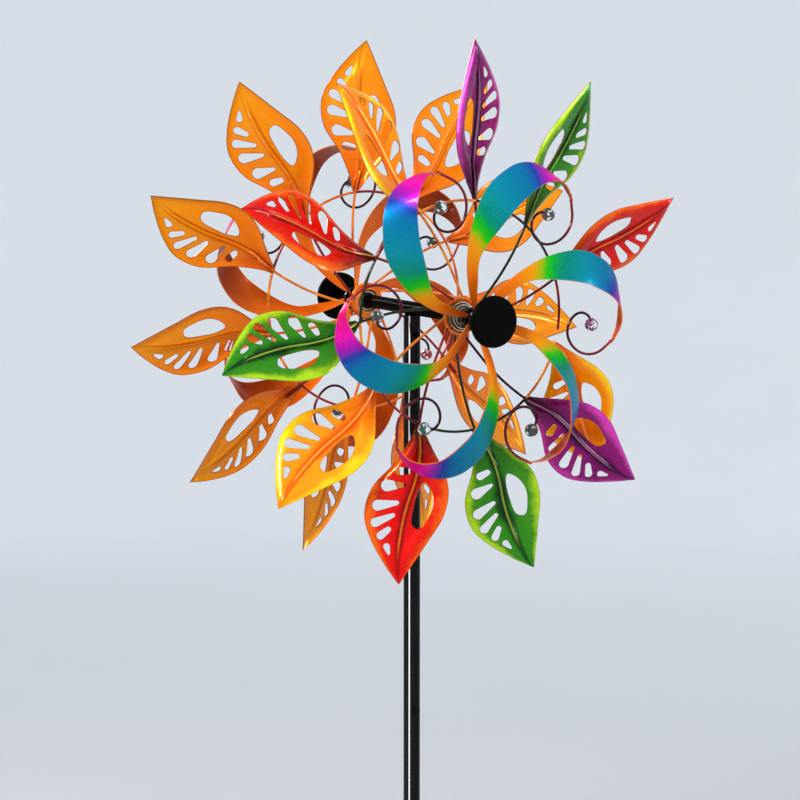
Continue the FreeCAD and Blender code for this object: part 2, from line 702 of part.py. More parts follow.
def scroll_path(sketch, side):
    """Down from the ribbon's tip, then round in tightening quarter turns."""
    start_x = SIZES["scroll_start_x"]
    place = (start_x, SIZES["scroll_turn_y"])
    line(sketch, *mirrored(side, [(start_x, SIZES["scroll_start_y"]), place]))
    heading = -90
    for quarter, radius in enumerate(SCROLL_RADII):
        side_angle = math.radians(heading - 90)
        centre = (place[0] + radius * math.cos(side_angle), place[1] + radius * math.sin(side_angle))
        sweep = 90 if quarter < len(SCROLL_RADII) - 1 else 45
        first = heading + 90
        last = first - sweep
        if side == "front":
            arc(sketch, centre, radius, last, first)
        else:
            arc(sketch, (-centre[0], centre[1]), radius, 180 - first, 180 - last)
        place = (centre[0] + radius * math.cos(math.radians(last)),
                 centre[1] + radius * math.sin(math.radians(last)))
        heading -= sweep
    return place


def make_scrolls(side):
    """Six scroll wires in one node, and the glass ball at the end of each in another."""
    turn = Rotation(Vector(0, 0, 1), SIZES[side + "_ribbon_phase"])
    wires = new_body(side + "_scroll_wires", axle_frame(side) * Placement(Vector(), turn))
    sense = 1 if side == "front" else -1
    shift = Placement(Vector(sense * SIZES["ribbon_curl_x"], SIZES["ribbon_curl_y"], SIZES["scroll_plane"]),
                      Rotation())
    path = new_sketch(wires, "XY_Plane", "Path")
    path.AttachmentOffset = shift
    end = scroll_path(path, side)
    section = new_sketch(wires, "XZ_Plane", "Section",
                         -SIZES["ribbon_curl_y"] - SIZES["scroll_start_y"])
    circle(section, "wire_radius",
           (sense * (SIZES["ribbon_curl_x"] + SIZES["scroll_start_x"]), SIZES["scroll_plane"]))
    wire = feature(wires, "AdditivePipe", "Scroll", Profile=section, Spine=(path, []))
    doc.recompute()
    polar_pattern(wires, [wire], RIBBONS)
    balls = []
    ball_in_curl = Placement(Vector(sense * end[0], end[1], SIZES["ball_plane"]), Rotation())
    for index in range(RIBBONS):
        balls.append(primitive("Sphere", "%sBall%d" % (side, index), curl_frame(side, index) * ball_in_curl,
                               Radius="ball_radius"))
    combine("Compound", side + "_glass_balls", Links=balls)


# ---------------------------------------------------------------- build and write

def nodes():
    """The objects that nothing else contains: one for each node of the assembly."""
    found = []
    for item in doc.Objects:
        is_body = item.TypeId == "PartDesign::Body"
        is_group = item.TypeId == "Part::Compound"
        if is_body or is_group:
            found.append(item)
    return found


make_sheet()
make_step_plate()
make_prongs()
make_pole()
make_screws()
make_crossbar()
make_rod()
make_spacers()
make_nuts()
for side_name in ("front", "rear"):
    make_leaf_hub(side_name)
    make_wire_frame(side_name)
    for leaf_number in range(1, LEAVES + 1):
        make_leaf(side_name, leaf_number)
    make_ribbon_hub(side_name)
    make_cap(side_name)
    for ribbon_number in range(1, RIBBONS + 1):
        make_ribbon(side_name, ribbon_number)
    make_scrolls(side_name)
doc.recompute()

for item in doc.Objects:
    if "Invalid" in item.State or "Error" in item.State:
        raise RuntimeError("%s: %s" % (item.Name, item.State))
for node in nodes():
    if node.Shape.isNull() or not node.Shape.isValid():
        raise RuntimeError(node.Label + " has no valid shape")
for node in nodes():
    node.Shape.exportStep("parts/%s.step" % node.Label)
    print("%-20s %2d solids %12.1f mm3" % (node.Label, len(node.Shape.Solids), node.Shape.Volume))
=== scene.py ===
import math
import random

import bpy
import numpy as np
from mathutils import Matrix, Vector
from mathutils.geometry import delaunay_2d_cdt


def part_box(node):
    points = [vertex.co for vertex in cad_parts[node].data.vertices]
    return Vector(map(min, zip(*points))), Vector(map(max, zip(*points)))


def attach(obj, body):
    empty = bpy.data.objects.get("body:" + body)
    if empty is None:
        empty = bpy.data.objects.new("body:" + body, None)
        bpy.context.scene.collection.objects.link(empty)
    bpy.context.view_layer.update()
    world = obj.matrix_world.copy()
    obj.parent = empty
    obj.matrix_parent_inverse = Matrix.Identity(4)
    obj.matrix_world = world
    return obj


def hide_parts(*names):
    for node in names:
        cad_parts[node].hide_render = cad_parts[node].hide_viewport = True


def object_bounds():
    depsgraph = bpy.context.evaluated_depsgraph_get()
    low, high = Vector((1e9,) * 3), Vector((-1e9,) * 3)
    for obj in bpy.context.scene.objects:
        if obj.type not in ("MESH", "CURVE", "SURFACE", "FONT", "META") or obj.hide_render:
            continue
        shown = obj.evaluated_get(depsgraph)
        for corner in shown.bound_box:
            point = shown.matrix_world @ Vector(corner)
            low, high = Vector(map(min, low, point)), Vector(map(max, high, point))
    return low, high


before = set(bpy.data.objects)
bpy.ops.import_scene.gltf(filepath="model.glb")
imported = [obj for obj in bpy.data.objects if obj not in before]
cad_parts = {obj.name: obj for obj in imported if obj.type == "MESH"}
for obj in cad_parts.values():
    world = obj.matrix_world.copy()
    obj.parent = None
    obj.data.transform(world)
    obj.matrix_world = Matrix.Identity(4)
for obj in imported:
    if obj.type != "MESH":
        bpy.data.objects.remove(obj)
cad_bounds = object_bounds()

SIDES = ("front", "rear")
LEAVES = 11
RIBBONS = 6

# The scene is in metres, and so are these two: the axle's height, and the radii of the steps turned
# on a leaf hub's boss, from its foot to its nose.
cap_low, cap_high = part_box("front_hub_cap")
AXLE_HEIGHT = (cap_low.z + cap_high.z) / 2
BOSS_STEPS = (0.016, 0.0135, 0.011)

# Shapes that follow the CAD pieces are drawn in millimetres in the same axle frame as theirs (z out
# along the axle, y up) and scaled once, when a mesh is made. So the sizes below are in millimetres.
MM = 0.001

# The wire frame of a leaf rotor.
WIRE_RADIUS = 1.5
WIRE_PLANE = 106.0
HUB_RING = 19.5
HUB_PLATE_BACK = 102.4
BRACE_RING = 126.5
BRACE_PLANE = 108.6
STEM_OFFSET = 10.5
STEM_STRAIGHT = 50.0
STEM_ON_LEAF = 26.0
INNER_RING = HUB_RING - 5.5
WELD_RADIUS = 2.3
RING_WELD_RADIUS = 2.2
# One brace of the front rotor stops short of the next stem.
SHORT_BRACE = ("front", 3)
SHORT_BRACE_SHARE = 0.8

# A leaf: its size and cup, its turn on its rotor, and each leaf's own (swing, lean, pitch) in degrees.
# The fifth leaf in front has been bent out of its place.
LEAF_LENGTH = 175.0
LEAF_SHEET = 1.0
LEAF_CUP_RADIUS = 300.0
LEAF_CUP_CENTRE = 10.0
LEAF_TURN = 13.0
LEAF_PHASE = {"front": 114.7, "rear": 50.7}
LEAF_SET = {
    "front": [(0, 5, 30), (-2, 5, 25), (2, 5, 25), (0, 5, 25), (-57, -8, 28), (0, 5, 29),
              (2, 5, 30), (0, 5, 30), (-2, 5, 30), (1.5, 5, 33), (0, 5, 33)],
    "rear": [(-1, 1, -28), (0, 1, -28), (0, 1, -28), (-1.2, 1, -28), (-1.6, 1, -28)]
            + [(0, 1, -28)] * 5 + [(-0.8, 1, -28)],
}
LEAF_COLOURS = ["yellow", "purple", "green", "red", "yellow", "purple",
                "green", "red", "yellow", "green", "red"]

# The leaf's outline and openings as fractions of its length, as (along, across).
LEAF_PLAIN_EDGE = [(0.01, 0.02), (0.13, 0.094), (0.3, 0.205), (0.42, 0.236), (0.56, 0.217),
                   (0.72, 0.142), (0.86, 0.072), (1, 0)]
LEAF_SLOT_EDGE = [(1, 0), (0.9, -0.093), (0.74, -0.21), (0.6, -0.266), (0.43, -0.242),
                  (0.25, -0.116), (0.09, -0.04), (0.01, -0.02)]
LEAF_OPENING = [(0.352, 0.08), (0.4, 0.13), (0.48, 0.151), (0.56, 0.132), (0.645, 0.082),
                (0.625, 0.035), (0.5, 0.032), (0.4, 0.05)]
LEAF_SLOTS = [
    ((0.297, -0.035, 0.02), (0.303, -0.085, 0.026)),
    ((0.385, -0.045, 0.012), (0.401, -0.15, 0.037)),
    ((0.5, -0.075, 0.014), (0.53, -0.192, 0.034)),
    ((0.58, -0.09, 0.014), (0.637, -0.194, 0.029)),
    ((0.67, -0.108, 0.018), (0.714, -0.151, 0.025)),
    ((0.818, -0.086, 0.009), (0.776, -0.105, 0.021)),
]
MIDRIB = [(0, 0), (0.19, 0.03), (0.35, 0.02), (0.51, -0.012), (0.63, -0.026), (0.79, -0.03),
          (0.93, -0.018), (1, 0)]

# Rows of mesh points beside the midrib, which carry its embossed line: a ridge between two valleys.
RIB_ROWS = (-5.4, -4.2, -3.3, -2.5, -1.7, -0.9, 0, 0.9, 1.7, 2.5, 3.3, 4.2, 5.4)
RIDGE_HEIGHT = 1.5
RIDGE_WIDTH = 1.6
VALLEY_DEPTH = 0.9
VALLEY_WIDTH = 1.2
VALLEY_FROM_RIB = 3.3
# The leaf's rolled rim, and the low swelling inside it.
RIM_DROP = 1.8
RIM_WIDTH = 5.5
SWELL_HEIGHT = 0.9
SWELL_START = 2.0
SWELL_WIDTH = 16.0
# How far apart the leaf's mesh points are: between its edges, round its opening and round its slots.
GRID_PITCH = 2.6
GRID_ROWS = 22
OPENING_PITCH = 2.0
SLOT_PITCH = 1.6

# A ribbon: a strip of a shallow cone round its curl's centre, given there by (radius, height) of the
# cone's two ends.
RIBBON_SHEET = 1.2
CURL = (48.0, 106.0)
RIBBON_PHASE = {"front": 0.0, "rear": -31.0}
CONE_INNER = (16.0, 178.5)
CONE_OUTER = (112.0, 135.8)
RIBBON_OUTER_EDGE = [(-50.5, -97.5), (-60, -75), (-67, -44), (-65, -4), (-46, 38), (-10, 60), (27, 60),
                     (53, 42), (63, 22)]
RIBBON_INNER_EDGE = [(-47, -97), (-52, -68), (-54, -38), (-36, -5), (-9, 24), (18, 38), (46, 35), (60, 22)]
RIBBON_ROWS = 110
RIBBON_COLUMNS = 15
RIBBON_CROWN = 1.6
# Towards its tip a strip twists back by this many degrees, from this fraction of its length on, and
# widens by this share. The third one in front has been bent further round.
TWIST_AT_TIP = 60.0
TWIST_START = 0.6
WIDENS_BY = 0.35
RIBBON_TURNED = {"front": (0, 0, 18, 0, 0, 0), "rear": (0, 0, 0, 0, 0, 0)}

# The scroll wire from the ribbon's tip, and the glass ball at its end.
SCROLL_START = (60.5, 27.0)
SCROLL_BEND = (62.0, 5.0)
SCROLL_RADII = [32.0, 21.0, 14.0, 9.0]
SCROLL_PLANE = 158.4
TIP_WELD_RADIUS = 2.0
BALL_RADIUS = 7.5
BALL_PLANE = 160.0
# The share of a ball's facets that are made mirror-bright: painted glints.
PAINTED_GLINT_SHARE = 0.3
# The glass tints are kept dark: a painted dark reflection.
GLASS_TINTS = {"clear_darkened": (0.03, 0.045, 0.035), "violet": (0.16, 0.004, 0.14),
               "teal": (0.004, 0.09, 0.07), "ruby": (0.4, 0.008, 0.01)}
BALL_GLASS = {"front": ("clear_darkened", "violet", "clear_darkened", "teal", "clear_darkened", "clear_darkened"),
              "rear": ("clear_darkened", "clear_darkened", "ruby", "clear_darkened", "teal", "clear_darkened")}

random_source = np.random.default_rng(11)


# ---------------------------------------------------------------- frames

def rotation(axis, degrees):
    return Matrix.Rotation(math.radians(degrees), 4, axis)


def shift(x, y, z):
    return Matrix.Translation((x, y, z))


def axle_frame(side):
    place = shift(0, 0, AXLE_HEIGHT) @ rotation("X", 90)
    return place @ rotation("Y", 180) if side == "rear" else place


def leaf_phase(side, index):
    return LEAF_PHASE[side] - 360 * index / LEAVES


def leaf_place(side, index):
    """The leaf's frame in its rotor's axle frame, in millimetres."""
    swing, lean, pitch = LEAF_SET[side][index]
    place = rotation("Z", leaf_phase(side, index)) @ shift(BRACE_RING, 0, WIRE_PLANE)
    return place @ rotation("Z", LEAF_TURN + swing) @ rotation("Y", -lean) @ rotation("X", pitch)


def sense(side):
    return 1 if side == "front" else -1


def ribbon_turn(side, index):
    return rotation("Z", RIBBON_PHASE[side] - sense(side) * 360 * index / RIBBONS)


# ---------------------------------------------------------------- curves

def smooth_curve(points, per_span=8, closed=False):
    """Points along a smooth curve through the given ones (centripetal Catmull-Rom)."""
    knots = [np.array(p, float) for p in points]
    if closed:
        knots = [knots[-1]] + knots + knots[:2]
    else:
        knots = [2 * knots[0] - knots[1]] + knots + [2 * knots[-1] - knots[-2]]
    out = []
    for before, start, end, after in zip(knots, knots[1:], knots[2:], knots[3:]):
        steps = [math.sqrt(max(np.linalg.norm(b - a), 1e-9)) for a, b in
                 ((before, start), (start, end), (end, after))]
        lead = (start - before) / steps[0] - (end - before) / (steps[0] + steps[1])
        lead = (lead + (end - start) / steps[1]) * steps[1]
        trail = (end - start) / steps[1] - (after - start) / (steps[1] + steps[2])
        trail = (trail + (after - end) / steps[2]) * steps[1]
        for f in np.arange(per_span) / per_span:
            square = f * f
            cube = square * f
            out.append((2 * cube - 3 * square + 1) * start + (cube - 2 * square + f) * lead
                       + (3 * square - 2 * cube) * end + (cube - square) * trail)
    if not closed:
        out.append(knots[-2])
    return np.array(out)


def even_points(points, count):
    """The same line with its points evenly spaced."""
    lengths = np.concatenate([[0], np.cumsum(np.linalg.norm(np.diff(points, axis=0), axis=1))])
    wanted = np.linspace(0, lengths[-1], count)
    return np.stack([np.interp(wanted, lengths, points[:, axis]) for axis in range(points.shape[1])], 1)


def arc_points(centre, radius, start, end, count):
    angles = np.radians(np.linspace(start, end, count))
    return np.stack([centre[0] + radius * np.cos(angles), centre[1] + radius * np.sin(angles)], 1)


def distance_to_line(points, line):
    """Each point's distance from a polyline."""
    start = line[:-1][None]
    along = (line[1:] - line[:-1])[None]
    reach = points[:, None] - start
    share = (reach * along).sum(2) / np.maximum((along * along).sum(2), 1e-12)
    nearest = reach - np.clip(share, 0, 1)[..., None] * along
    return np.sqrt((nearest ** 2).sum(2)).min(1)


def inside(points, loop):
    """Whether each point lies inside a closed loop."""
    x, y = points[:, 0][:, None], points[:, 1][:, None]
    x0, y0 = loop[:, 0][None], loop[:, 1][None]
    x1, y1 = np.roll(loop[:, 0], -1)[None], np.roll(loop[:, 1], -1)[None]
    spans = (y0 > y) != (y1 > y)
    rise = np.where(np.abs(y1 - y0) < 1e-12, 1e-12, y1 - y0)
    return (spans & (x < (x1 - x0) * (y - y0) / rise + x0)).sum(1) % 2 == 1


# ---------------------------------------------------------------- meshes

def new_mesh_object(name, vertices, faces, materials, matrix=Matrix.Identity(4), face_slots=None,
                    attributes=None, sharp_degrees=40):
    """A mesh whose points are put in the row frame, as the CAD pieces' are, so its object stays unmoved."""
    turn = np.array(matrix)
    placed = np.asarray(vertices, float) * MM @ turn[:3, :3].T + turn[:3, 3]
    mesh = bpy.data.meshes.new(name)
    mesh.from_pydata([tuple(point) for point in placed], [], faces)
    for material in materials:
        mesh.materials.append(material)
    if face_slots is not None:
        mesh.polygons.foreach_set("material_index", np.asarray(face_slots, np.int32))
    mesh.polygons.foreach_set("use_smooth", np.ones(len(mesh.polygons), bool))
    for label, values in (attributes or {}).items():
        layer = mesh.attributes.new(label, "FLOAT", "POINT")
        layer.data.foreach_set("value", np.asarray(values, np.float32))
    mesh.set_sharp_from_angle(angle=math.radians(sharp_degrees))
    mesh.update()
    made = bpy.data.objects.new(name, mesh)
    bpy.context.scene.collection.objects.link(made)
    return made


def in_metres(matrix):
    """A matrix in millimetres, with its shift in metres."""
    scaled = matrix.copy()
    scaled.translation = matrix.translation * MM
    return scaled


def vertex_normals(points, faces):
    normals = np.zeros_like(points)
    for face in faces:
        corner = points[list(face)]
        normal = np.cross(corner[1] - corner[0], corner[-1] - corner[0])
        normals[list(face)] += normal
    return normals / np.maximum(np.linalg.norm(normals, axis=1, keepdims=True), 1e-12)


def thick_sheet(points, faces, thickness, attributes):
    """A sheet with a front, a back and a rim. Face slots: 0 front, 1 back and rim."""
    count = len(points)
    normals = vertex_normals(points, faces)
    vertices = np.concatenate([points + normals * thickness / 2, points - normals * thickness / 2])
    edges = {}
    for face in faces:
        for start, end in zip(face, face[1:] + face[:1]):
            edges[(start, end)] = True
    rim = [(end, start, start + count, end + count) for start, end in edges if (end, start) not in edges]
    back = [tuple(reversed([i + count for i in face])) for face in faces]
    slots = [0] * len(faces) + [1] * (len(back) + len(rim))
    doubled = {label: np.concatenate([values, values]) for label, values in attributes.items()}
    return vertices, [tuple(face) for face in faces] + back + rim, slots, doubled


TUBE_SIDES = 12


def tube(points, radius, sides=TUBE_SIDES, closed=False):
    """A round wire along a line, with rounded ends unless it is closed."""
    points = np.asarray(points, float)
    if closed:
        tangents = np.roll(points, -1, 0) - np.roll(points, 1, 0)
    else:
        tangents = np.gradient(points, axis=0)
    tangents /= np.linalg.norm(tangents, axis=1, keepdims=True)
    radii = np.full(len(points), float(radius))
    if not closed:
        swell = [(-0.97, 0.25), (-0.7, 0.71), (-0.25, 0.97)]
        head = [points[0] + tangents[0] * radius * (1 + offset) for offset, _ in swell]
        tail = [points[-1] - tangents[-1] * radius * (1 + offset) for offset, _ in reversed(swell)]
        points = np.concatenate([head, points[1:-1], tail])
        tangents = np.concatenate([[tangents[0]] * 3, tangents[1:-1], [tangents[-1]] * 3])
        radii = np.concatenate([[radius * size for _, size in swell], radii[1:-1],
                                [radius * size for _, size in reversed(swell)]])
    side = np.cross(tangents[0], [0, 0, 1.0])
    if np.linalg.norm(side) < 1e-6:
        side = np.cross(tangents[0], [0, 1.0, 0])
    rings = []
    angles = 2 * math.pi * np.arange(sides) / sides
    for place, tangent, size in zip(points, tangents, radii):
        side = side - tangent * (side @ tangent)
        side /= np.linalg.norm(side)
        other = np.cross(tangent, side)
        rings.append(place + size * (np.cos(angles)[:, None] * side + np.sin(angles)[:, None] * other))
    vertices = np.concatenate(rings)
    faces = []
    last = len(points) if closed else len(points) - 1
    for ring in range(last):
        here, there = ring * sides, (ring + 1) % len(points) * sides
        for k in range(sides):
            following = (k + 1) % sides
            faces.append((here + k, here + following, there + following, there + k))
    if not closed:
        faces.append(tuple(reversed(range(sides))))
        faces.append(tuple(len(vertices) - sides + k for k in range(sides)))
    return vertices, faces


def merge(parts):
    """Several (vertices, faces) as one."""
    vertices, faces = [], []
    start = 0
    for points, loops in parts:
        vertices.append(points)
        faces += [tuple(i + start for i in loop) for loop in loops]
        start += len(points)
    return np.concatenate(vertices), faces


def bead(centre, radius, stretch=(1, 1, 1), rings=6, sides=10):
    """A small blob of weld: a squashed ball whose surface is a little uneven."""
    vertices, faces = [], []
    for ring in range(1, rings):
        tilt = math.pi * ring / rings
        for k in range(sides):
            turn = 2 * math.pi * k / sides
            size = radius * random_source.uniform(0.92, 1.06)
            vertices.append((size * math.sin(tilt) * math.cos(turn), size * math.sin(tilt) * math.sin(turn),
                             size * math.cos(tilt)))
    top, bottom = len(vertices), len(vertices) + 1
    vertices += [(0, 0, radius), (0, 0, -radius)]
    for ring in range(rings - 2):
        for k in range(sides):
            here, following = ring * sides + k, ring * sides + (k + 1) % sides
            faces.append((here, here + sides, following + sides, following))
    for k in range(sides):
        following = (k + 1) % sides
        faces.append((top, k, following))
        faces.append((bottom, (rings - 2) * sides + following, (rings - 2) * sides + k))
    return np.array(vertices) * stretch + np.array(centre), faces


def finish_piece(piece, body, slot, *nodes):
    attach(piece, body)
    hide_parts(*nodes)


# ---------------------------------------------------------------- materials

class Nodes:
    """A material's node tree, with short calls for the nodes that the finishes here use."""

    def __init__(self, name):
        self.material = bpy.data.materials.new(name)
        self.material.use_nodes = True
        self.tree = self.material.node_tree
        self.shader = self.tree.nodes["Principled BSDF"]

    def add(self, kind, settings=None, **sockets):
        node = self.tree.nodes.new("ShaderNode" + kind)
        for label, value in (settings or {}).items():
            setattr(node, label, value)
        for label, value in sockets.items():
            self.feed(node.inputs[label.replace("_", " ")], value)
        return node

    def feed(self, socket, value):
        if isinstance(value, bpy.types.NodeSocket):
            self.tree.links.new(value, socket)
        else:
            socket.default_value = value

    def set(self, **sockets):
        for label, value in sockets.items():
            self.feed(self.shader.inputs[label.replace("_", " ")], value)

    def attribute(self, name):
        return self.add("Attribute", {"attribute_name": name}).outputs["Fac"]

    def wavering(self, name, spread, scale, detail=2.0, roughness=0.5):
        """A mesh attribute that a cloud shifts by up to spread."""
        cloud = self.range(self.noise(scale, detail, roughness), 0.3, 0.7, -spread, spread)
        return self.maths("ADD", self.attribute(name), cloud, clamp=True)

    def place(self):
        return self.add("TexCoord").outputs["Object"]

    def noise(self, scale, detail=2.0, roughness=0.5, vector=None):
        return self.add("TexNoise", Vector=vector or self.place(), Scale=scale, Detail=detail,
                        Roughness=roughness).outputs["Fac"]

    def ramp(self, factor, stops, mode="EASE"):
        node = self.add("ValToRGB", Fac=factor)
        node.color_ramp.interpolation = mode
        elements = node.color_ramp.elements
        while len(elements) < len(stops):
            elements.new(0.5)
        for element, (position, colour) in zip(elements, stops):
            element.position = position
            element.color = (*colour, 1) if len(colour) == 3 else colour
        return node.outputs["Color"]

    def mix(self, factor, first, second):
        node = self.add("Mix", {"data_type": "RGBA"})
        self.feed(node.inputs["Factor"], factor)
        self.feed(node.inputs[6], first if not isinstance(first, tuple) else (*first, 1))
        self.feed(node.inputs[7], second if not isinstance(second, tuple) else (*second, 1))
        return node.outputs[2]

    def maths(self, operation, first, second=0.0, clamp=False):
        node = self.add("Math", {"operation": operation, "use_clamp": clamp})
        self.feed(node.inputs[0], first)
        self.feed(node.inputs[1], second)
        return node.outputs[0]

    def range(self, value, low, high, to_low=0.0, to_high=1.0):
        node = self.add("MapRange", {"clamp": True}, Value=value)
        for label, number in zip(("From Min", "From Max", "To Min", "To Max"), (low, high, to_low, to_high)):
            node.inputs[label].default_value = number
        return node.outputs["Result"]

    def bump(self, height, strength, distance=0.001):
        return self.add("Bump", Height=height, Strength=strength, Distance=distance).outputs["Normal"]


def enamel_surface(nodes, colour, metallic=0.5, roughness=(0.2, 0.34), peel=0.05, coat=0.5,
                   coat_ior=1.36, base_gloss=0.05):
    """Glossy sprayed enamel over metal: orange peel in the bump, a thin clear coat, and uneven gloss."""
    haze = nodes.noise(38.0, 3.0)
    wave = nodes.noise(520.0, 2.0)
    nodes.set(Base_Color=colour, Metallic=metallic, Roughness=nodes.range(haze, 0.3, 0.75, *roughness),
              Normal=nodes.bump(wave, peel, 0.0004))
    nodes.shader.inputs["Specular IOR Level"].default_value = base_gloss
    nodes.shader.inputs["Coat Weight"].default_value = coat
    nodes.shader.inputs["Coat Roughness"].default_value = 0.05
    nodes.shader.inputs["Coat IOR"].default_value = coat_ior
    return nodes.material


def speckled(nodes, colour, amount, tint):
    """Fine airbrushed spatter of a second colour."""
    dots = nodes.range(nodes.noise(1500.0, 1.0, 0.7), 0.62, 0.7)
    return nodes.mix(nodes.maths("MULTIPLY", dots, amount, clamp=True), colour, tint)


# A leaf's paint, as linear colours: along the midrib, between midrib and edge, at the edge, at the base.
LEAF_TONES = {
    "green": [(0.002, 0.035, 0.003), (0.02, 0.2, 0.004), (0.36, 0.6, 0.006), (0.001, 0.015, 0.002)],
    "red": [(0.34, 0.0, 0.0), (0.66, 0.001, 0.0), (0.82, 0.1, 0.001), (0.05, 0.0, 0.0)],
    "yellow": [(0.8, 0.12, 0.001), (0.9, 0.27, 0.001), (0.93, 0.58, 0.003), (0.62, 0.06, 0.001)],
    # The purple's light pink edge is partly its paint and partly a painted highlight.
    "purple": [(0.03, 0.0, 0.02), (0.22, 0.001, 0.13), (0.6, 0.03, 0.38), (0.01, 0.0, 0.006)],
}
# Spatter colours, which the leaf's front also uses for the painted highlight on the midrib's ridge.
SPATTER_AND_RIDGE_HIGHLIGHT = {"green": (0.75, 0.9, 0.06), "red": (0.95, 0.5, 0.02), "yellow": (0.98, 0.85, 0.1),
           "purple": (0.85, 0.28, 0.6)}


def leaf_front_material(name):
    """Airbrushed from a dark midrib and base to a light edge, with spatter towards the edge, painted shade
    at the edges and in the midrib's grooves, and a painted highlight on its ridge.
    """
    nodes = Nodes("leaf_front_" + name)
    rib, middle, edge, base = LEAF_TONES[name]
    across = nodes.wavering("rim", 0.14, 26.0, 3.0, 0.6)
    colour = nodes.ramp(across, [(0.0, rib), (0.28, middle), (0.7, middle), (1.0, edge)])
    near_base = nodes.range(nodes.attribute("along"), 0.36, 0.05)
    colour = nodes.mix(near_base, colour, base)
    # A dark line along the outline and round the opening and slots: painted shade.
    line = nodes.range(nodes.attribute("edge"), 0.1, 0.0, 0.0, 0.75)
    colour = nodes.mix(line, colour, tuple(value * 0.35 for value in middle))
    colour = speckled(nodes, colour, nodes.range(across, 0.35, 1.0, 0.0, 0.8), SPATTER_AND_RIDGE_HIGHLIGHT[name])
    # Darker in the midrib's two grooves: painted shade.
    colour = nodes.mix(nodes.range(nodes.attribute("groove_shade"), 0.15, 0.9, 0.0, 0.55), colour, base)
    # A lighter line on the midrib's ridge, in the spatter colour: a painted highlight.
    colour = nodes.mix(nodes.range(nodes.attribute("ridge"), 0.55, 1.0, 0.0, 0.4), colour, SPATTER_AND_RIDGE_HIGHLIGHT[name])
    return enamel_surface(nodes, colour, metallic=0.3)


def leaf_back_material():
    """The backs of all the leaves: amber orange, redder towards the base, with a hammered gloss, painted
    shade at the edges and in the midrib's grooves, and a painted highlight on its ridge.
    """
    nodes = Nodes("leaf_back_orange")
    along = nodes.wavering("along", 0.15, 18.0, 3.0, 0.6)
    colour = nodes.ramp(along, [(0.0, (0.58, 0.06, 0.001)), (0.3, (0.72, 0.16, 0.001)),
                                (0.65, (0.78, 0.24, 0.001)), (1.0, (0.8, 0.28, 0.001))])
    across = nodes.range(nodes.attribute("rim"), 0.35, 0.95, 0.0, 0.35)
    colour = nodes.mix(across, colour, (0.9, 0.2, 0.001))
    # A dark line along the edges: painted shade.
    painted_edge_shade = nodes.range(nodes.attribute("edge"), 0.12, 0.0, 0.0, 0.85)
    colour = nodes.mix(painted_edge_shade, colour, (0.2, 0.03, 0.001))
    # Darker in the midrib's grooves: painted shade.
    groove_shade = nodes.range(nodes.attribute("groove_shade"), 0.15, 0.9, 0.0, 0.7)
    colour = nodes.mix(groove_shade, colour, (0.26, 0.035, 0.001))
    # Lighter along the midrib's ridge: a painted highlight.
    ridge = nodes.range(nodes.attribute("ridge"), 0.5, 1.0, 0.0, 0.35)
    colour = nodes.mix(ridge, colour, (0.9, 0.36, 0.004))
    return enamel_surface(nodes, colour, metallic=0.3, roughness=(0.2, 0.34), peel=0.08)


# The ribbons' paint from hub to tip; the darker orange at the hub is partly paint and partly painted shade.
RAINBOW = [(0.0, (0.5, 0.062, 0.001)), (0.18, (0.67, 0.14, 0.001)), (0.29, (0.68, 0.25, 0.002)),
           (0.325, (0.3, 0.36, 0.002)), (0.35, (0.02, 0.42, 0.002)), (0.385, (0.0, 0.34, 0.02)),
           (0.43, (0.0, 0.2, 0.13)), (0.53, (0.0, 0.2, 0.27)), (0.68, (0.0, 0.13, 0.3)),
           (0.74, (0.01, 0.035, 0.3)), (0.78, (0.28, 0.006, 0.34)), (0.84, (0.72, 0.003, 0.34)),
           (0.93, (0.56, 0.002, 0.12)), (1.0, (0.36, 0.002, 0.04))]


def ribbon_front_material():
    """Candy rainbow over a metallic ground, hub to tip, with a fine glitter and a light line along the edges
    that is a painted highlight.
    """
    nodes = Nodes("ribbon_rainbow")
    along = nodes.wavering("along", 0.012, 30.0)
    colour = nodes.ramp(along, RAINBOW, "LINEAR")
    flake = nodes.range(nodes.noise(1700.0, 1.0, 0.6), 0.66, 0.74, 0.0, 0.15)
    colour = nodes.mix(flake, colour, (0.85, 0.9, 0.95))
    # A light line along the strip's edges: a painted highlight.
    colour = nodes.mix(nodes.range(nodes.attribute("edge"), 0.1, 0.0, 0.0, 0.5), colour, (0.3, 0.2, 0.12))
    return enamel_surface(nodes, colour, metallic=0.3, roughness=(0.26, 0.38), peel=0.03, coat=0.22,
                          base_gloss=0.0)


def ribbon_back_material():
    """Orange by the hub and copper brown towards the tip, with a bright edge that is a painted highlight."""
    nodes = Nodes("ribbon_back_copper")
    colour = nodes.ramp(nodes.attribute("along"), [(0.0, (0.85, 0.16, 0.002)), (0.35, (0.75, 0.13, 0.002)),
                                                   (0.7, (0.3, 0.035, 0.003)), (1.0, (0.3, 0.03, 0.004))])
    patches = nodes.range(nodes.noise(24.0, 3.0), 0.35, 0.7, 0.0, 0.35)
    colour = nodes.mix(patches, colour, (0.34, 0.04, 0.003))
    # A brighter line along the edges: a painted highlight.
    painted_highlight_mask = nodes.range(nodes.attribute("edge"), 0.12, 0.0, 0.0, 0.8)
    colour = nodes.mix(painted_highlight_mask, colour, (0.75, 0.16, 0.01))
    return enamel_surface(nodes, colour, metallic=0.4, roughness=(0.24, 0.38), coat=0.3)


def wire_material(name, light, dark):
    """Painted wire, darker in patches."""
    nodes = Nodes("wire_" + name)
    colour = nodes.mix(nodes.range(nodes.noise(60.0, 3.0), 0.35, 0.65), light, dark)
    return enamel_surface(nodes, colour, metallic=0.4)


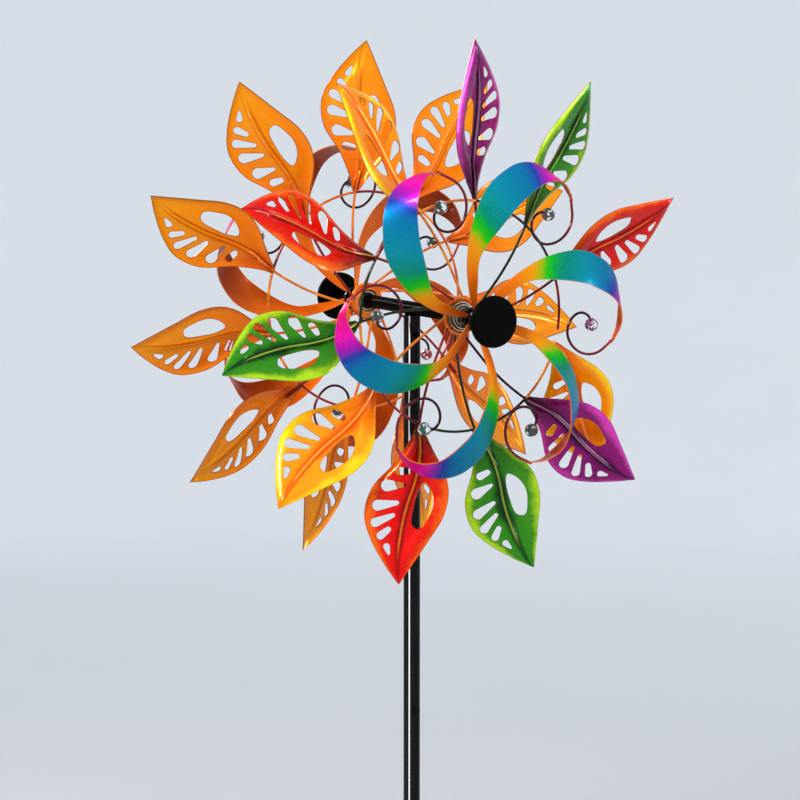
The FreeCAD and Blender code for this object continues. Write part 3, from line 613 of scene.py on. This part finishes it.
def scroll_material():
    """The scroll wires go from the ribbon's pink through crimson to a plum that is nearly black."""
    nodes = Nodes("wire_scroll")
    along = nodes.wavering("along", 0.08, 40.0)
    colour = nodes.ramp(along, [(0.0, (0.34, 0.03, 0.02)), (0.16, (0.14, 0.008, 0.01)),
                                (0.36, (0.04, 0.002, 0.006)), (0.7, (0.012, 0.001, 0.004)),
                                (1.0, (0.1, 0.003, 0.02))])
    return enamel_surface(nodes, colour, metallic=0.4)


def black_material(name, coat):
    """Black enamel with a little dust on it."""
    nodes = Nodes(name)
    dust = nodes.range(nodes.noise(9.0, 5.0, 0.65), 0.5, 0.85, 0.0, 0.12)
    colour = nodes.mix(dust, (0.0007, 0.0006, 0.0007), (0.012, 0.011, 0.01))
    return enamel_surface(nodes, colour, metallic=0.0, roughness=(0.2, 0.3), peel=0.02, coat=coat,
                          coat_ior=1.3, base_gloss=0.0)


def matt_black_material():
    """The cap's faces: moulded plastic with a fine grain, and hardly any gloss."""
    nodes = Nodes("matt_black_cap")
    dust = nodes.range(nodes.noise(45.0, 5.0, 0.65), 0.5, 0.85, 0.0, 0.1)
    colour = nodes.mix(dust, (0.0015, 0.0015, 0.0016), (0.02, 0.018, 0.016))
    nodes.set(Base_Color=colour, Roughness=nodes.range(nodes.noise(160.0, 3.0), 0.3, 0.7, 0.5, 0.62),
              Normal=nodes.bump(nodes.noise(2200.0, 2.0), 0.15, 0.0003))
    nodes.shader.inputs["Specular IOR Level"].default_value = 0.02
    return nodes.material


def distance_across(nodes, axes, middle):
    """Distance in metres from a line that runs through middle, measured across the two named axes."""
    split = nodes.add("SeparateXYZ", Vector=nodes.place())
    squares = []
    for axis, centre in zip(axes, middle):
        off = nodes.maths("SUBTRACT", split.outputs[axis], centre)
        squares.append(nodes.maths("MULTIPLY", off, off))
    return nodes.maths("SQRT", nodes.maths("ADD", *squares))


def orange_hub_material():
    """The hub's plate is orange and its turned boss black, with a cream ring at each step's edge that is a
    painted highlight.
    """
    nodes = Nodes("orange_hub_enamel")
    patches = nodes.range(nodes.noise(70.0, 3.0), 0.35, 0.7)
    colour = nodes.mix(patches, (0.9, 0.2, 0.004), (0.5, 0.05, 0.002))
    reach = distance_across(nodes, "XZ", (0.0, AXLE_HEIGHT))
    on_boss = nodes.range(reach, BOSS_STEPS[0] + 0.0003, BOSS_STEPS[0])
    colour = nodes.mix(on_boss, colour, (0.004, 0.004, 0.004))
    # Cream rings at the edge of each step, broken up by a cloud: painted highlights.
    painted_highlight_mask = nodes.range(nodes.noise(260.0, 3.0), 0.3, 0.6, 0.55, 1.0)
    for radius in BOSS_STEPS:
        off_edge = nodes.maths("ABSOLUTE", nodes.maths("SUBTRACT", reach, radius - 0.0005))
        ring_highlight = nodes.maths("MULTIPLY", nodes.range(off_edge, 0.0006, 0.0003), painted_highlight_mask)
        colour = nodes.mix(ring_highlight, colour, (0.8, 0.72, 0.55))
    return enamel_surface(nodes, colour, metallic=0.3, roughness=(0.1, 0.2), coat_ior=1.3)


def metal_material(name, colour, dark, roughness):
    """Bare metal with a fine scratched grain and a darker film in places."""
    nodes = Nodes(name)
    film = nodes.range(nodes.noise(120.0, 4.0, 0.6), 0.35, 0.75, 0.0, 0.6)
    scratches = nodes.noise(900.0, 2.0, 0.5)
    nodes.set(Base_Color=nodes.mix(film, colour, dark), Metallic=1.0,
              Roughness=nodes.range(scratches, 0.3, 0.7, *roughness),
              Normal=nodes.bump(scratches, 0.08, 0.0002))
    return nodes.material


def glass_material(name, tint):
    """Glass darkened as a painted dark reflection, slightly cloudy, for the facets that are not painted
    glints.
    """
    nodes = Nodes("glass_" + name)
    cloud = nodes.range(nodes.noise(300.0, 2.0), 0.4, 0.7, 0.0, 0.4)
    nodes.set(Base_Color=nodes.mix(cloud, tint, tuple(value * 0.6 for value in tint)),
              Roughness=nodes.range(nodes.noise(700.0, 1.0), 0.3, 0.7, 0.0, 0.03))
    nodes.shader.inputs["Transmission Weight"].default_value = 0.3
    nodes.shader.inputs["IOR"].default_value = 1.5
    nodes.shader.inputs["Coat Weight"].default_value = 0.5
    return nodes.material


def glint_facet_material(name, tint):
    """The painted glints: facets picked at random and made mirror-bright, with a little of the glass's
    colour in places.
    """
    nodes = Nodes("facet_" + name)
    cloud = nodes.range(nodes.noise(500.0, 2.0), 0.45, 0.65, 0.0, 0.6)
    nodes.set(Base_Color=nodes.mix(cloud, (0.96, 0.97, 0.96), tuple(0.3 + 0.7 * value for value in tint)),
              Metallic=0.9, Roughness=nodes.range(nodes.noise(700.0, 1.0), 0.3, 0.7, 0.02, 0.08))
    return nodes.material


# ---------------------------------------------------------------- leaves

def scaled(points):
    return np.array(points, float) * LEAF_LENGTH


def slot_loop(small, large):
    """A tapered slot: two round ends and the straight sides that touch both."""
    start, end = scaled(small[:2]), scaled(large[:2])
    small_radius, large_radius = small[2] * LEAF_LENGTH, large[2] * LEAF_LENGTH
    span = end - start
    heading = math.degrees(math.atan2(span[1], span[0]))
    flare = math.degrees(math.asin((large_radius - small_radius) / np.linalg.norm(span)))
    first, second = heading + 90 + flare, heading - 90 - flare
    far_end = arc_points(end, large_radius, second, first, 12)
    near_end = arc_points(start, small_radius, first, second + 360, 8)
    return np.concatenate([far_end, near_end])


def close_loop(loop):
    return np.concatenate([loop, loop[:1]])


def spaced(loop, gap):
    """A closed loop with its points about the given gap apart."""
    line = close_loop(loop)
    length = np.linalg.norm(np.diff(line, axis=0), axis=1).sum()
    return even_points(line, max(8, round(length / gap)) + 1)[:-1]


def leaf_plan():
    """The flat leaf as triangles, with what its shape and colour need at each point."""
    plain = smooth_curve(scaled(LEAF_PLAIN_EDGE))
    slotted = smooth_curve(scaled(LEAF_SLOT_EDGE))
    outline_loop = np.concatenate([even_points(plain, 84)[:-1], even_points(slotted, 84)])
    holes = [spaced(smooth_curve(scaled(LEAF_OPENING), closed=True), OPENING_PITCH)]
    holes += [spaced(slot_loop(small, large), SLOT_PITCH) for small, large in LEAF_SLOTS]
    rib = even_points(smooth_curve(scaled(MIDRIB)), 75)
    normal = np.gradient(rib, axis=0)
    normal = np.stack([-normal[:, 1], normal[:, 0]], 1)
    normal /= np.linalg.norm(normal, axis=1, keepdims=True)
    rows = [rib + normal * offset for offset in RIB_ROWS]
    grid = []
    for row in range(-GRID_ROWS, GRID_ROWS):
        along = np.arange(0, LEAF_LENGTH, GRID_PITCH) + (row % 2) * GRID_PITCH / 2
        grid.append(np.stack([along, np.full(len(along), row * GRID_PITCH * 0.87)], 1))
    grid = np.concatenate(grid)
    grid = grid[distance_to_line(grid, rib) > 6.6]
    points = np.concatenate([grid] + rows)
    edges = [close_loop(outline_loop)] + [close_loop(hole) for hole in holes]
    keep = inside(points, outline_loop)
    for hole in holes:
        keep &= ~inside(points, hole)
    for line in edges:
        keep &= distance_to_line(points, line) > 1.0
    points = points[keep]
    loops = [outline_loop] + holes
    vertices = np.concatenate(loops + [points])
    borders = []
    start = 0
    for loop in loops:
        borders += [(start + i, start + (i + 1) % len(loop)) for i in range(len(loop))]
        start += len(loop)
    found = delaunay_2d_cdt([Vector(v) for v in vertices], borders, [], 0, 1e-5)
    flat = np.array([tuple(v) for v in found[0]])
    faces = [list(face) for face in found[2]]
    centres = np.array([flat[face].mean(0) for face in faces])
    solid = inside(centres, outline_loop)
    for hole in holes:
        solid &= ~inside(centres, hole)
    faces = [face for face, wanted in zip(faces, solid) if wanted]
    used = sorted({i for face in faces for i in face})
    lookup = {old: new for new, old in enumerate(used)}
    flat = flat[used]
    faces = [[lookup[i] for i in face] for face in faces]
    return flat, faces, edges, rib, plain, slotted


def leaf_geometry():
    """The leaf's sheet with its cup, embossed midrib, rolled rim and swelling, and what its paint needs."""
    flat, faces, edges, rib, plain, slotted = leaf_plan()
    u, v = flat[:, 0], flat[:, 1]
    order = np.argsort(slotted[:, 0])
    rib_at = np.interp(u, rib[:, 0], rib[:, 1])
    top = np.interp(u, plain[:, 0], plain[:, 1])
    bottom = np.interp(u, slotted[order, 0], slotted[order, 1])
    half = np.where(v > rib_at, top - rib_at, rib_at - bottom)
    rim = np.clip(np.abs(v - rib_at) / np.maximum(half, 2.0), 0, 1)
    to_outline = distance_to_line(flat, edges[0])
    to_edge = np.min([distance_to_line(flat, line) for line in edges], axis=0)
    from_rib = distance_to_line(flat, rib)
    height = LEAF_CUP_RADIUS - np.sqrt(LEAF_CUP_RADIUS ** 2 - (v + LEAF_CUP_CENTRE) ** 2)
    fade = np.clip((1 - u / LEAF_LENGTH) * 4, 0, 1)
    ridge = RIDGE_HEIGHT * np.exp(-(from_rib / RIDGE_WIDTH) ** 2)
    ridge -= VALLEY_DEPTH * np.exp(-((from_rib - VALLEY_FROM_RIB) / VALLEY_WIDTH) ** 2)
    height += ridge * fade
    height -= RIM_DROP * np.clip(1 - to_outline / RIM_WIDTH, 0, 1) ** 2 * np.clip(u / 20, 0, 1)
    height += SWELL_HEIGHT * np.sin(np.clip((to_outline - SWELL_START) / SWELL_WIDTH, 0, 1) * math.pi)
    # Masks for the painted shade in the midrib's grooves and the painted highlight on its ridge.
    groove_shade = np.exp(-((from_rib - 2.6) / 0.8) ** 2) * fade
    attributes = {"along": u / LEAF_LENGTH, "rim": rim, "edge": np.clip(to_edge / 10, 0, 1),
                  "groove_shade": groove_shade, "ridge": np.exp(-(from_rib / 1.3) ** 2) * fade}
    return np.column_stack([u, v, height]), faces, attributes


def build_leaves():
    points, faces, attributes = leaf_geometry()
    if vertex_normals(points, faces)[:, 2].mean() < 0:
        faces = [face[::-1] for face in faces]
    sheet = thick_sheet(points, faces, LEAF_SHEET, attributes)
    fronts = {name: leaf_front_material(name) for name in LEAF_TONES}
    back = leaf_back_material()
    for side in SIDES:
        for index, colour in enumerate(LEAF_COLOURS):
            place = axle_frame(side) @ in_metres(leaf_place(side, index))
            node = "%s_leaf_%02d" % (side, index + 1)
            leaf = new_mesh_object(node + "_blade", sheet[0], sheet[1], [fronts[colour], back], place,
                                   sheet[2], sheet[3])
            finish_piece(leaf, side + "_leaf_rotor", "leaf_" + colour, node)


# ---------------------------------------------------------------- wire frames

def stem_line(side, index):
    """One stem in the axle frame: past the hub, out along an arc, then on behind its leaf."""
    inner = math.sqrt(HUB_RING ** 2 - STEM_OFFSET ** 2)
    reach = BRACE_RING - STEM_STRAIGHT
    radius = (reach ** 2 + STEM_OFFSET ** 2) / (2 * STEM_OFFSET)
    turn = math.degrees(math.asin(reach / radius))
    straight = np.stack([np.linspace(inner, STEM_STRAIGHT, 5), np.full(5, -STEM_OFFSET)], 1)
    bend = arc_points((STEM_STRAIGHT, radius - STEM_OFFSET), radius, 270, 270 + turn, 14)[1:]
    flat = np.concatenate([straight, bend])
    turned = rotation("Z", leaf_phase(side, index))
    line = [turned @ Vector((x, y, WIRE_PLANE)) for x, y in flat]
    leaf = leaf_place(side, index)
    middle = LEAF_CUP_RADIUS - math.sqrt(LEAF_CUP_RADIUS ** 2 - LEAF_CUP_CENTRE ** 2)
    behind = middle - LEAF_SHEET / 2 - WIRE_RADIUS
    line += [leaf @ Vector((u, u * 0.12, behind)) for u in np.linspace(6, STEM_ON_LEAF, 5)]
    return np.array([tuple(point) for point in line])


def ring_points(radius, plane, start=0.0, end=360.0, count=96):
    flat = arc_points((0, 0), radius, start, end, count)
    return np.column_stack([flat, np.full(count, plane)])


# Each wire's paint where it is light and where it is dark.
WIRE_TONES = {
    "yellow": ((0.85, 0.3, 0.02), (0.5, 0.12, 0.01)),
    "purple": ((0.06, 0.003, 0.02), (0.015, 0.001, 0.008)),
    "green": ((0.012, 0.035, 0.006), (0.005, 0.014, 0.003)),
    "red": ((0.3, 0.015, 0.004), (0.08, 0.003, 0.003)),
    "orange": ((0.9, 0.24, 0.012), (0.5, 0.08, 0.008)),
}


def build_wires():
    """Front stems have their leaf's colour; those behind are orange, and every third one red."""
    paints = {name: wire_material(name, *pair) for name, pair in WIRE_TONES.items()}
    step = 360 / LEAVES
    for side in SIDES:
        body = side + "_leaf_rotor"
        node = side + "_leaf_wires"
        place = axle_frame(side)
        for index, colour in enumerate(LEAF_COLOURS):
            paint = paints[colour if side == "front" else ("orange" if index % 3 else "red")]
            phase = leaf_phase(side, index)
            weld = rotation("Z", phase) @ Vector((BRACE_RING, 0, (WIRE_PLANE + BRACE_PLANE) / 2))
            stem = tube(stem_line(side, index), WIRE_RADIUS)
            parts = merge([stem, bead(tuple(weld), WELD_RADIUS, (1, 1, 1.15))])
            finish_piece(new_mesh_object("%s_stem_%02d" % (side, index + 1), *parts, [paint], place),
                         body, "orange_enamel", node)
            share = SHORT_BRACE_SHARE if (side, index) == SHORT_BRACE else 1.0
            arc = ring_points(BRACE_RING, BRACE_PLANE, phase, phase - step * share, 14)
            finish_piece(new_mesh_object("%s_brace_%02d" % (side, index + 1), *tube(arc, WIRE_RADIUS),
                                         [paint], place), body, "orange_enamel", node)
        rings = []
        for radius, plane in ((HUB_RING, WIRE_PLANE), (INNER_RING, HUB_PLATE_BACK - WIRE_RADIUS)):
            rings.append(tube(ring_points(radius, plane, 0, 360 * 71 / 72, 72), WIRE_RADIUS, closed=True))
        rings += [bead((HUB_RING * math.cos(a), HUB_RING * math.sin(a), WIRE_PLANE + 0.6), RING_WELD_RADIUS)
                  for a in np.radians(leaf_phase(side, 0) - 33 + step * np.arange(LEAVES))]
        finish_piece(new_mesh_object(side + "_hub_rings", *merge(rings), [paints["orange"]], place),
                     body, "orange_enamel", node)


# ---------------------------------------------------------------- ribbons, scrolls and balls

def cone_height(points):
    """The height of the ribbon's cone above the axle frame's origin, by distance from the curl centre."""
    reach = np.linalg.norm(points, axis=1)
    share = (reach - CONE_INNER[0]) / (CONE_OUTER[0] - CONE_INNER[0])
    return CONE_INNER[1] + share * (CONE_OUTER[1] - CONE_INNER[1])


def ribbon_geometry(side, turned):
    """A crescent strip on the cone, from hub to tip, whose outer edge folds back towards the tip.

    turned is the extra angle in degrees at which this one has been bent about its own length.
    """
    outer = even_points(smooth_curve(RIBBON_OUTER_EDGE, 16), RIBBON_ROWS)
    inner = even_points(smooth_curve(RIBBON_INNER_EDGE, 16), RIBBON_ROWS)
    middle = np.column_stack([(outer + inner) / 2, cone_height((outer + inner) / 2)])
    edge = np.column_stack([outer, cone_height(outer)]) - middle
    half_width = np.linalg.norm(edge, axis=1)
    edge /= half_width[:, None]
    tangent = np.gradient(middle, axis=0)
    normal = np.cross(edge, tangent)
    normal /= np.linalg.norm(normal, axis=1, keepdims=True)
    normal *= np.sign(normal[:, 2:])
    along = np.linspace(0, 1, RIBBON_ROWS)
    fold = np.clip((along - TWIST_START) / (1 - TWIST_START), 0, 1)
    body = np.clip((along - 0.25) / 0.3, 0, 1)
    twist = TWIST_AT_TIP * fold ** 2 * (3 - 2 * fold) + turned * body ** 2 * (3 - 2 * body)
    twist = np.minimum(twist, TWIST_AT_TIP)
    wider = half_width * (1 + WIDENS_BY * fold)
    cosine, sine = np.cos(np.radians(twist))[:, None], np.sin(np.radians(twist))[:, None]
    points, to_edge = [], []
    for share in np.linspace(1, -1, RIBBON_COLUMNS):
        off = share * wider[:, None]
        crown = RIBBON_CROWN * np.clip(wider / 20, 0, 1) * (1 - share ** 2)
        points.append(middle + off * (edge * cosine - normal * sine) + normal * crown[:, None])
        to_edge.append((1 - abs(share)) * wider)
    points = np.stack(points, 1).reshape(-1, 3)
    points[:, 2] -= RIBBON_SHEET / 2
    points += np.array([CURL[0], CURL[1], 0])
    points[:, 0] *= sense(side)
    faces = []
    for row in range(RIBBON_ROWS - 1):
        for column in range(RIBBON_COLUMNS - 1):
            here = row * RIBBON_COLUMNS + column
            faces.append([here, here + RIBBON_COLUMNS, here + RIBBON_COLUMNS + 1, here + 1])
    if vertex_normals(points, faces)[:, 2].mean() < 0:
        faces = [face[::-1] for face in faces]
    attributes = {"along": np.repeat(along, RIBBON_COLUMNS),
                  "edge": np.clip(np.stack(to_edge, 1).ravel() / 8, 0, 1)}
    return thick_sheet(points, faces, RIBBON_SHEET, attributes)


def scroll_line(side):
    """The wire from the ribbon's tip: down, then round in tightening quarter turns."""
    line = [np.linspace(SCROLL_START, SCROLL_BEND, 7)]
    place = np.array(SCROLL_BEND)
    heading = -90
    for quarter, radius in enumerate(SCROLL_RADII):
        towards = math.radians(heading - 90)
        centre = place + radius * np.array([math.cos(towards), math.sin(towards)])
        sweep = 90 if quarter < len(SCROLL_RADII) - 1 else 45
        arc = arc_points(centre, radius, heading + 90, heading + 90 - sweep, 13)[1:]
        line.append(arc)
        place = arc[-1]
        heading -= sweep
    flat = np.concatenate(line)
    rise = np.clip(np.arange(len(flat)) / 8, 0, 1)
    height = cone_height(flat[:1])[0] * (1 - rise) + SCROLL_PLANE * rise
    flat += np.array(CURL)
    return np.column_stack([sense(side) * flat[:, 0], flat[:, 1], height])


def faceted_ball(centre, radius, sides=10, rings=8):
    """A cut glass ball: flat facets in staggered rings round a flat table."""
    vertices = []
    for ring in range(1, rings):
        tilt = math.pi * ring / rings
        for k in range(sides):
            turn = 2 * math.pi * (k + (ring % 2) / 2) / sides
            vertices.append((radius * math.sin(tilt) * math.cos(turn),
                             radius * math.sin(tilt) * math.sin(turn), radius * math.cos(tilt)))
    faces = [tuple(range(sides)), tuple(reversed(range((rings - 2) * sides, (rings - 1) * sides)))]
    for ring in range(rings - 2):
        lean = (ring + 1) % 2
        for k in range(sides):
            a, b = ring * sides + k, ring * sides + (k + 1) % sides
            c, d = a + sides, b + sides
            if lean:
                faces += [(a, c, d), (a, d, b)]
                continue
            faces += [(a, c, b), (b, c, d)]
    return np.array(vertices) + np.array(centre), faces


def build_ribbon_rotors():
    front, back = ribbon_front_material(), ribbon_back_material()
    scroll_paint = scroll_material()
    glass = {name: [glass_material(name, tint), glint_facet_material(name, tint)]
             for name, tint in GLASS_TINTS.items()}
    chance = random.Random(7)
    for side in SIDES:
        body = side + "_ribbon_rotor"
        wire = scroll_line(side)
        ball_centre = (wire[-1][0], wire[-1][1], BALL_PLANE)
        for index in range(RIBBONS):
            place = axle_frame(side) @ ribbon_turn(side, index)
            number = index + 1
            sheet = ribbon_geometry(side, RIBBON_TURNED[side][index])
            node = "%s_ribbon_%d" % (side, number)
            strip = new_mesh_object(node + "_strip", sheet[0], sheet[1], [front, back], place,
                                    sheet[2], sheet[3])
            finish_piece(strip, body, "rainbow_enamel", node)
            line = tube(wire, WIRE_RADIUS)
            along = np.repeat(np.linspace(0, 1, len(line[0]) // TUBE_SIDES), TUBE_SIDES)
            weld = bead(tuple(wire[2]), TIP_WELD_RADIUS, (1, 1.6, 1))
            along = np.concatenate([along, np.zeros(len(weld[0]))])
            scroll = new_mesh_object("%s_scroll_%d" % (side, number), *merge([line, weld]), [scroll_paint],
                                     place, attributes={"along": along})
            finish_piece(scroll, body, "plum_enamel", side + "_scroll_wires")
            vertices, facets = faceted_ball(ball_centre, BALL_RADIUS)
            # Facets picked at random take the mirror-bright material: painted glints.
            bright = [int(chance.random() < PAINTED_GLINT_SHARE) for _ in facets]
            ball = new_mesh_object("%s_ball_%d" % (side, number), vertices, facets,
                                   glass[BALL_GLASS[side][index]], place, bright, sharp_degrees=1)
            ball.data.polygons.foreach_set("use_smooth", np.zeros(len(ball.data.polygons), bool))
            finish_piece(ball, body, "clear_glass", side + "_glass_balls")


# ---------------------------------------------------------------- carried-over CAD pieces

def finish_cad_nodes():
    """The CAD pieces that stay in view; whatever isn't named here has the pole's gloss black."""
    gloss_black = black_material("black_gloss_enamel", 0.6)
    satin_black = black_material("black_satin_enamel", 0.12)
    matt = matt_black_material()
    orange = orange_hub_material()
    zinc = metal_material("zinc_plate", (0.62, 0.62, 0.58), (0.34, 0.33, 0.3), (0.22, 0.42))
    sleeve = metal_material("dark_chrome", (0.3, 0.27, 0.22), (0.05, 0.045, 0.04), (0.05, 0.16))
    brass = metal_material("brass_bush", (0.72, 0.5, 0.2), (0.35, 0.22, 0.08), (0.2, 0.4))
    finishes = {"crossbar": satin_black, "axle_rod": zinc, "lock_nuts": zinc, "axle_spacers": sleeve}
    for side in SIDES:
        finishes[side + "_leaf_hub"] = orange
        finishes[side + "_hub_cap"] = matt
        finishes[side + "_leaf_bush"] = brass
        finishes[side + "_ribbon_bush"] = brass
    for name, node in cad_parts.items():
        if node.hide_render:
            continue
        node.data.materials.clear()
        node.data.materials.append(finishes.get(name, gloss_black))


# ---------------------------------------------------------------- stage, light and camera

BACKDROP_RADIUS = 10.0
WORLD_STRENGTH = 0.85
CAMERA_AZIMUTH = 30.1
CAMERA_ELEVATION = 5.6
CAMERA_DISTANCE = 2.75
CAMERA_LENS = 109.7
AIM_BELOW_AXLE = 0.1046
AIM_LEFT_OF_AXLE = 0.0135


def build_stage():
    """A pale floor that curves up into a round wall, so that there is no horizon from any side.

    It is a darker tone under the lamps, so that it looks evenly pale.
    """
    nodes = Nodes("studio_backdrop")
    tone = nodes.mix(nodes.range(nodes.noise(1.3, 3.0), 0.3, 0.7), (0.92, 0.93, 0.94), (0.9, 0.91, 0.92))
    reach = distance_across(nodes, "XY", (0.0, 0.0))
    tone = nodes.mix(nodes.range(reach, 7.0, 1.5, 0.0, 0.85), tone, (0.4, 0.405, 0.41))
    nodes.set(Base_Color=tone, Roughness=0.95)
    nodes.shader.inputs["Specular IOR Level"].default_value = 0.1
    bend, wall_top, sides = 3.5, 9.0, 96
    profile = [(0.05, 0.0), (3.0, 0.0), (BACKDROP_RADIUS - bend, 0.0)]
    profile += [(BACKDROP_RADIUS - bend * (1 - math.sin(a)), bend * (1 - math.cos(a)))
                for a in np.linspace(0, math.pi / 2, 16)[1:]]
    profile.append((BACKDROP_RADIUS, wall_top))
    vertices, faces = [], [tuple(range(sides))]
    for radius, height in profile:
        for k in range(sides):
            turn = 2 * math.pi * k / sides
            vertices.append((radius * math.cos(turn) / MM, radius * math.sin(turn) / MM,
                             (cad_bounds[0][2] + height) / MM))
    for ring in range(len(profile) - 1):
        for k in range(sides):
            here, following = ring * sides + k, ring * sides + (k + 1) % sides
            faces.append((here, here + sides, following + sides, following))
    new_mesh_object("studio_backdrop", vertices, faces, [nodes.material])
    world = bpy.data.worlds.new("studio")
    bpy.context.scene.world = world
    world.use_nodes = True
    background = world.node_tree.nodes["Background"]
    background.inputs["Color"].default_value = (0.86, 0.92, 1.0, 1)
    background.inputs["Strength"].default_value = WORLD_STRENGTH


def add_light(name, place, target, size, power, colour=(1, 1, 1), only_on=()):
    """A soft rectangular light; where only_on names CAD nodes, it lights nothing else."""
    data = bpy.data.lights.new(name, "AREA")
    data.shape = "RECTANGLE"
    data.size, data.size_y = size
    data.energy = power
    data.color = colour
    light = bpy.data.objects.new(name, data)
    bpy.context.scene.collection.objects.link(light)
    light.location = place
    light.rotation_euler = (Vector(target) - Vector(place)).to_track_quat("-Z", "Y").to_euler()
    if only_on:
        lit = bpy.data.collections.new(name + "_lights")
        for node in only_on:
            lit.objects.link(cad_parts[node])
        light.light_linking.receiver_collection = lit


def build_lights():
    middle = (0, 0, AXLE_HEIGHT - 0.1)
    add_light("key_softbox", (-2.4, -2.0, AXLE_HEIGHT + 1.9), middle, (0.65, 0.65), 125, (1, 0.97, 0.92))
    add_light("fill_softbox", (2.4, -2.4, AXLE_HEIGHT + 0.5), middle, (0.6, 1.4), 34, (0.93, 0.96, 1))
    add_light("back_softbox", (-1.4, 2.6, AXLE_HEIGHT + 1.4), middle, (1.4, 1.0), 80)
    add_light("pole_softbox", (-1.9, -0.9, 0.7), (0, 0, 0.9), (0.7, 2.2), 480,
              only_on=("lower_pole", "middle_pole", "upper_pole"))


def build_camera():
    azimuth, elevation = math.radians(CAMERA_AZIMUTH), math.radians(CAMERA_ELEVATION)
    towards = Vector((-math.sin(azimuth) * math.cos(elevation), -math.cos(azimuth) * math.cos(elevation),
                      math.sin(elevation)))
    left = Vector((-math.cos(azimuth), math.sin(azimuth), 0))
    axle = Vector((0, 0, AXLE_HEIGHT))
    data = bpy.data.cameras.new("camera")
    data.sensor_width = 36
    data.lens = CAMERA_LENS
    camera = bpy.data.objects.new("camera", data)
    bpy.context.scene.collection.objects.link(camera)
    camera.location = axle + towards * CAMERA_DISTANCE
    aim = axle + left * AIM_LEFT_OF_AXLE - Vector((0, 0, AIM_BELOW_AXLE))
    camera.rotation_euler = (aim - camera.location).to_track_quat("-Z", "Y").to_euler()
    bpy.context.scene.camera = camera
    bpy.context.scene.view_settings.view_transform = "Standard"


build_leaves()
build_wires()
build_ribbon_rotors()
finish_cad_nodes()
build_stage()
build_lights()
build_camera()
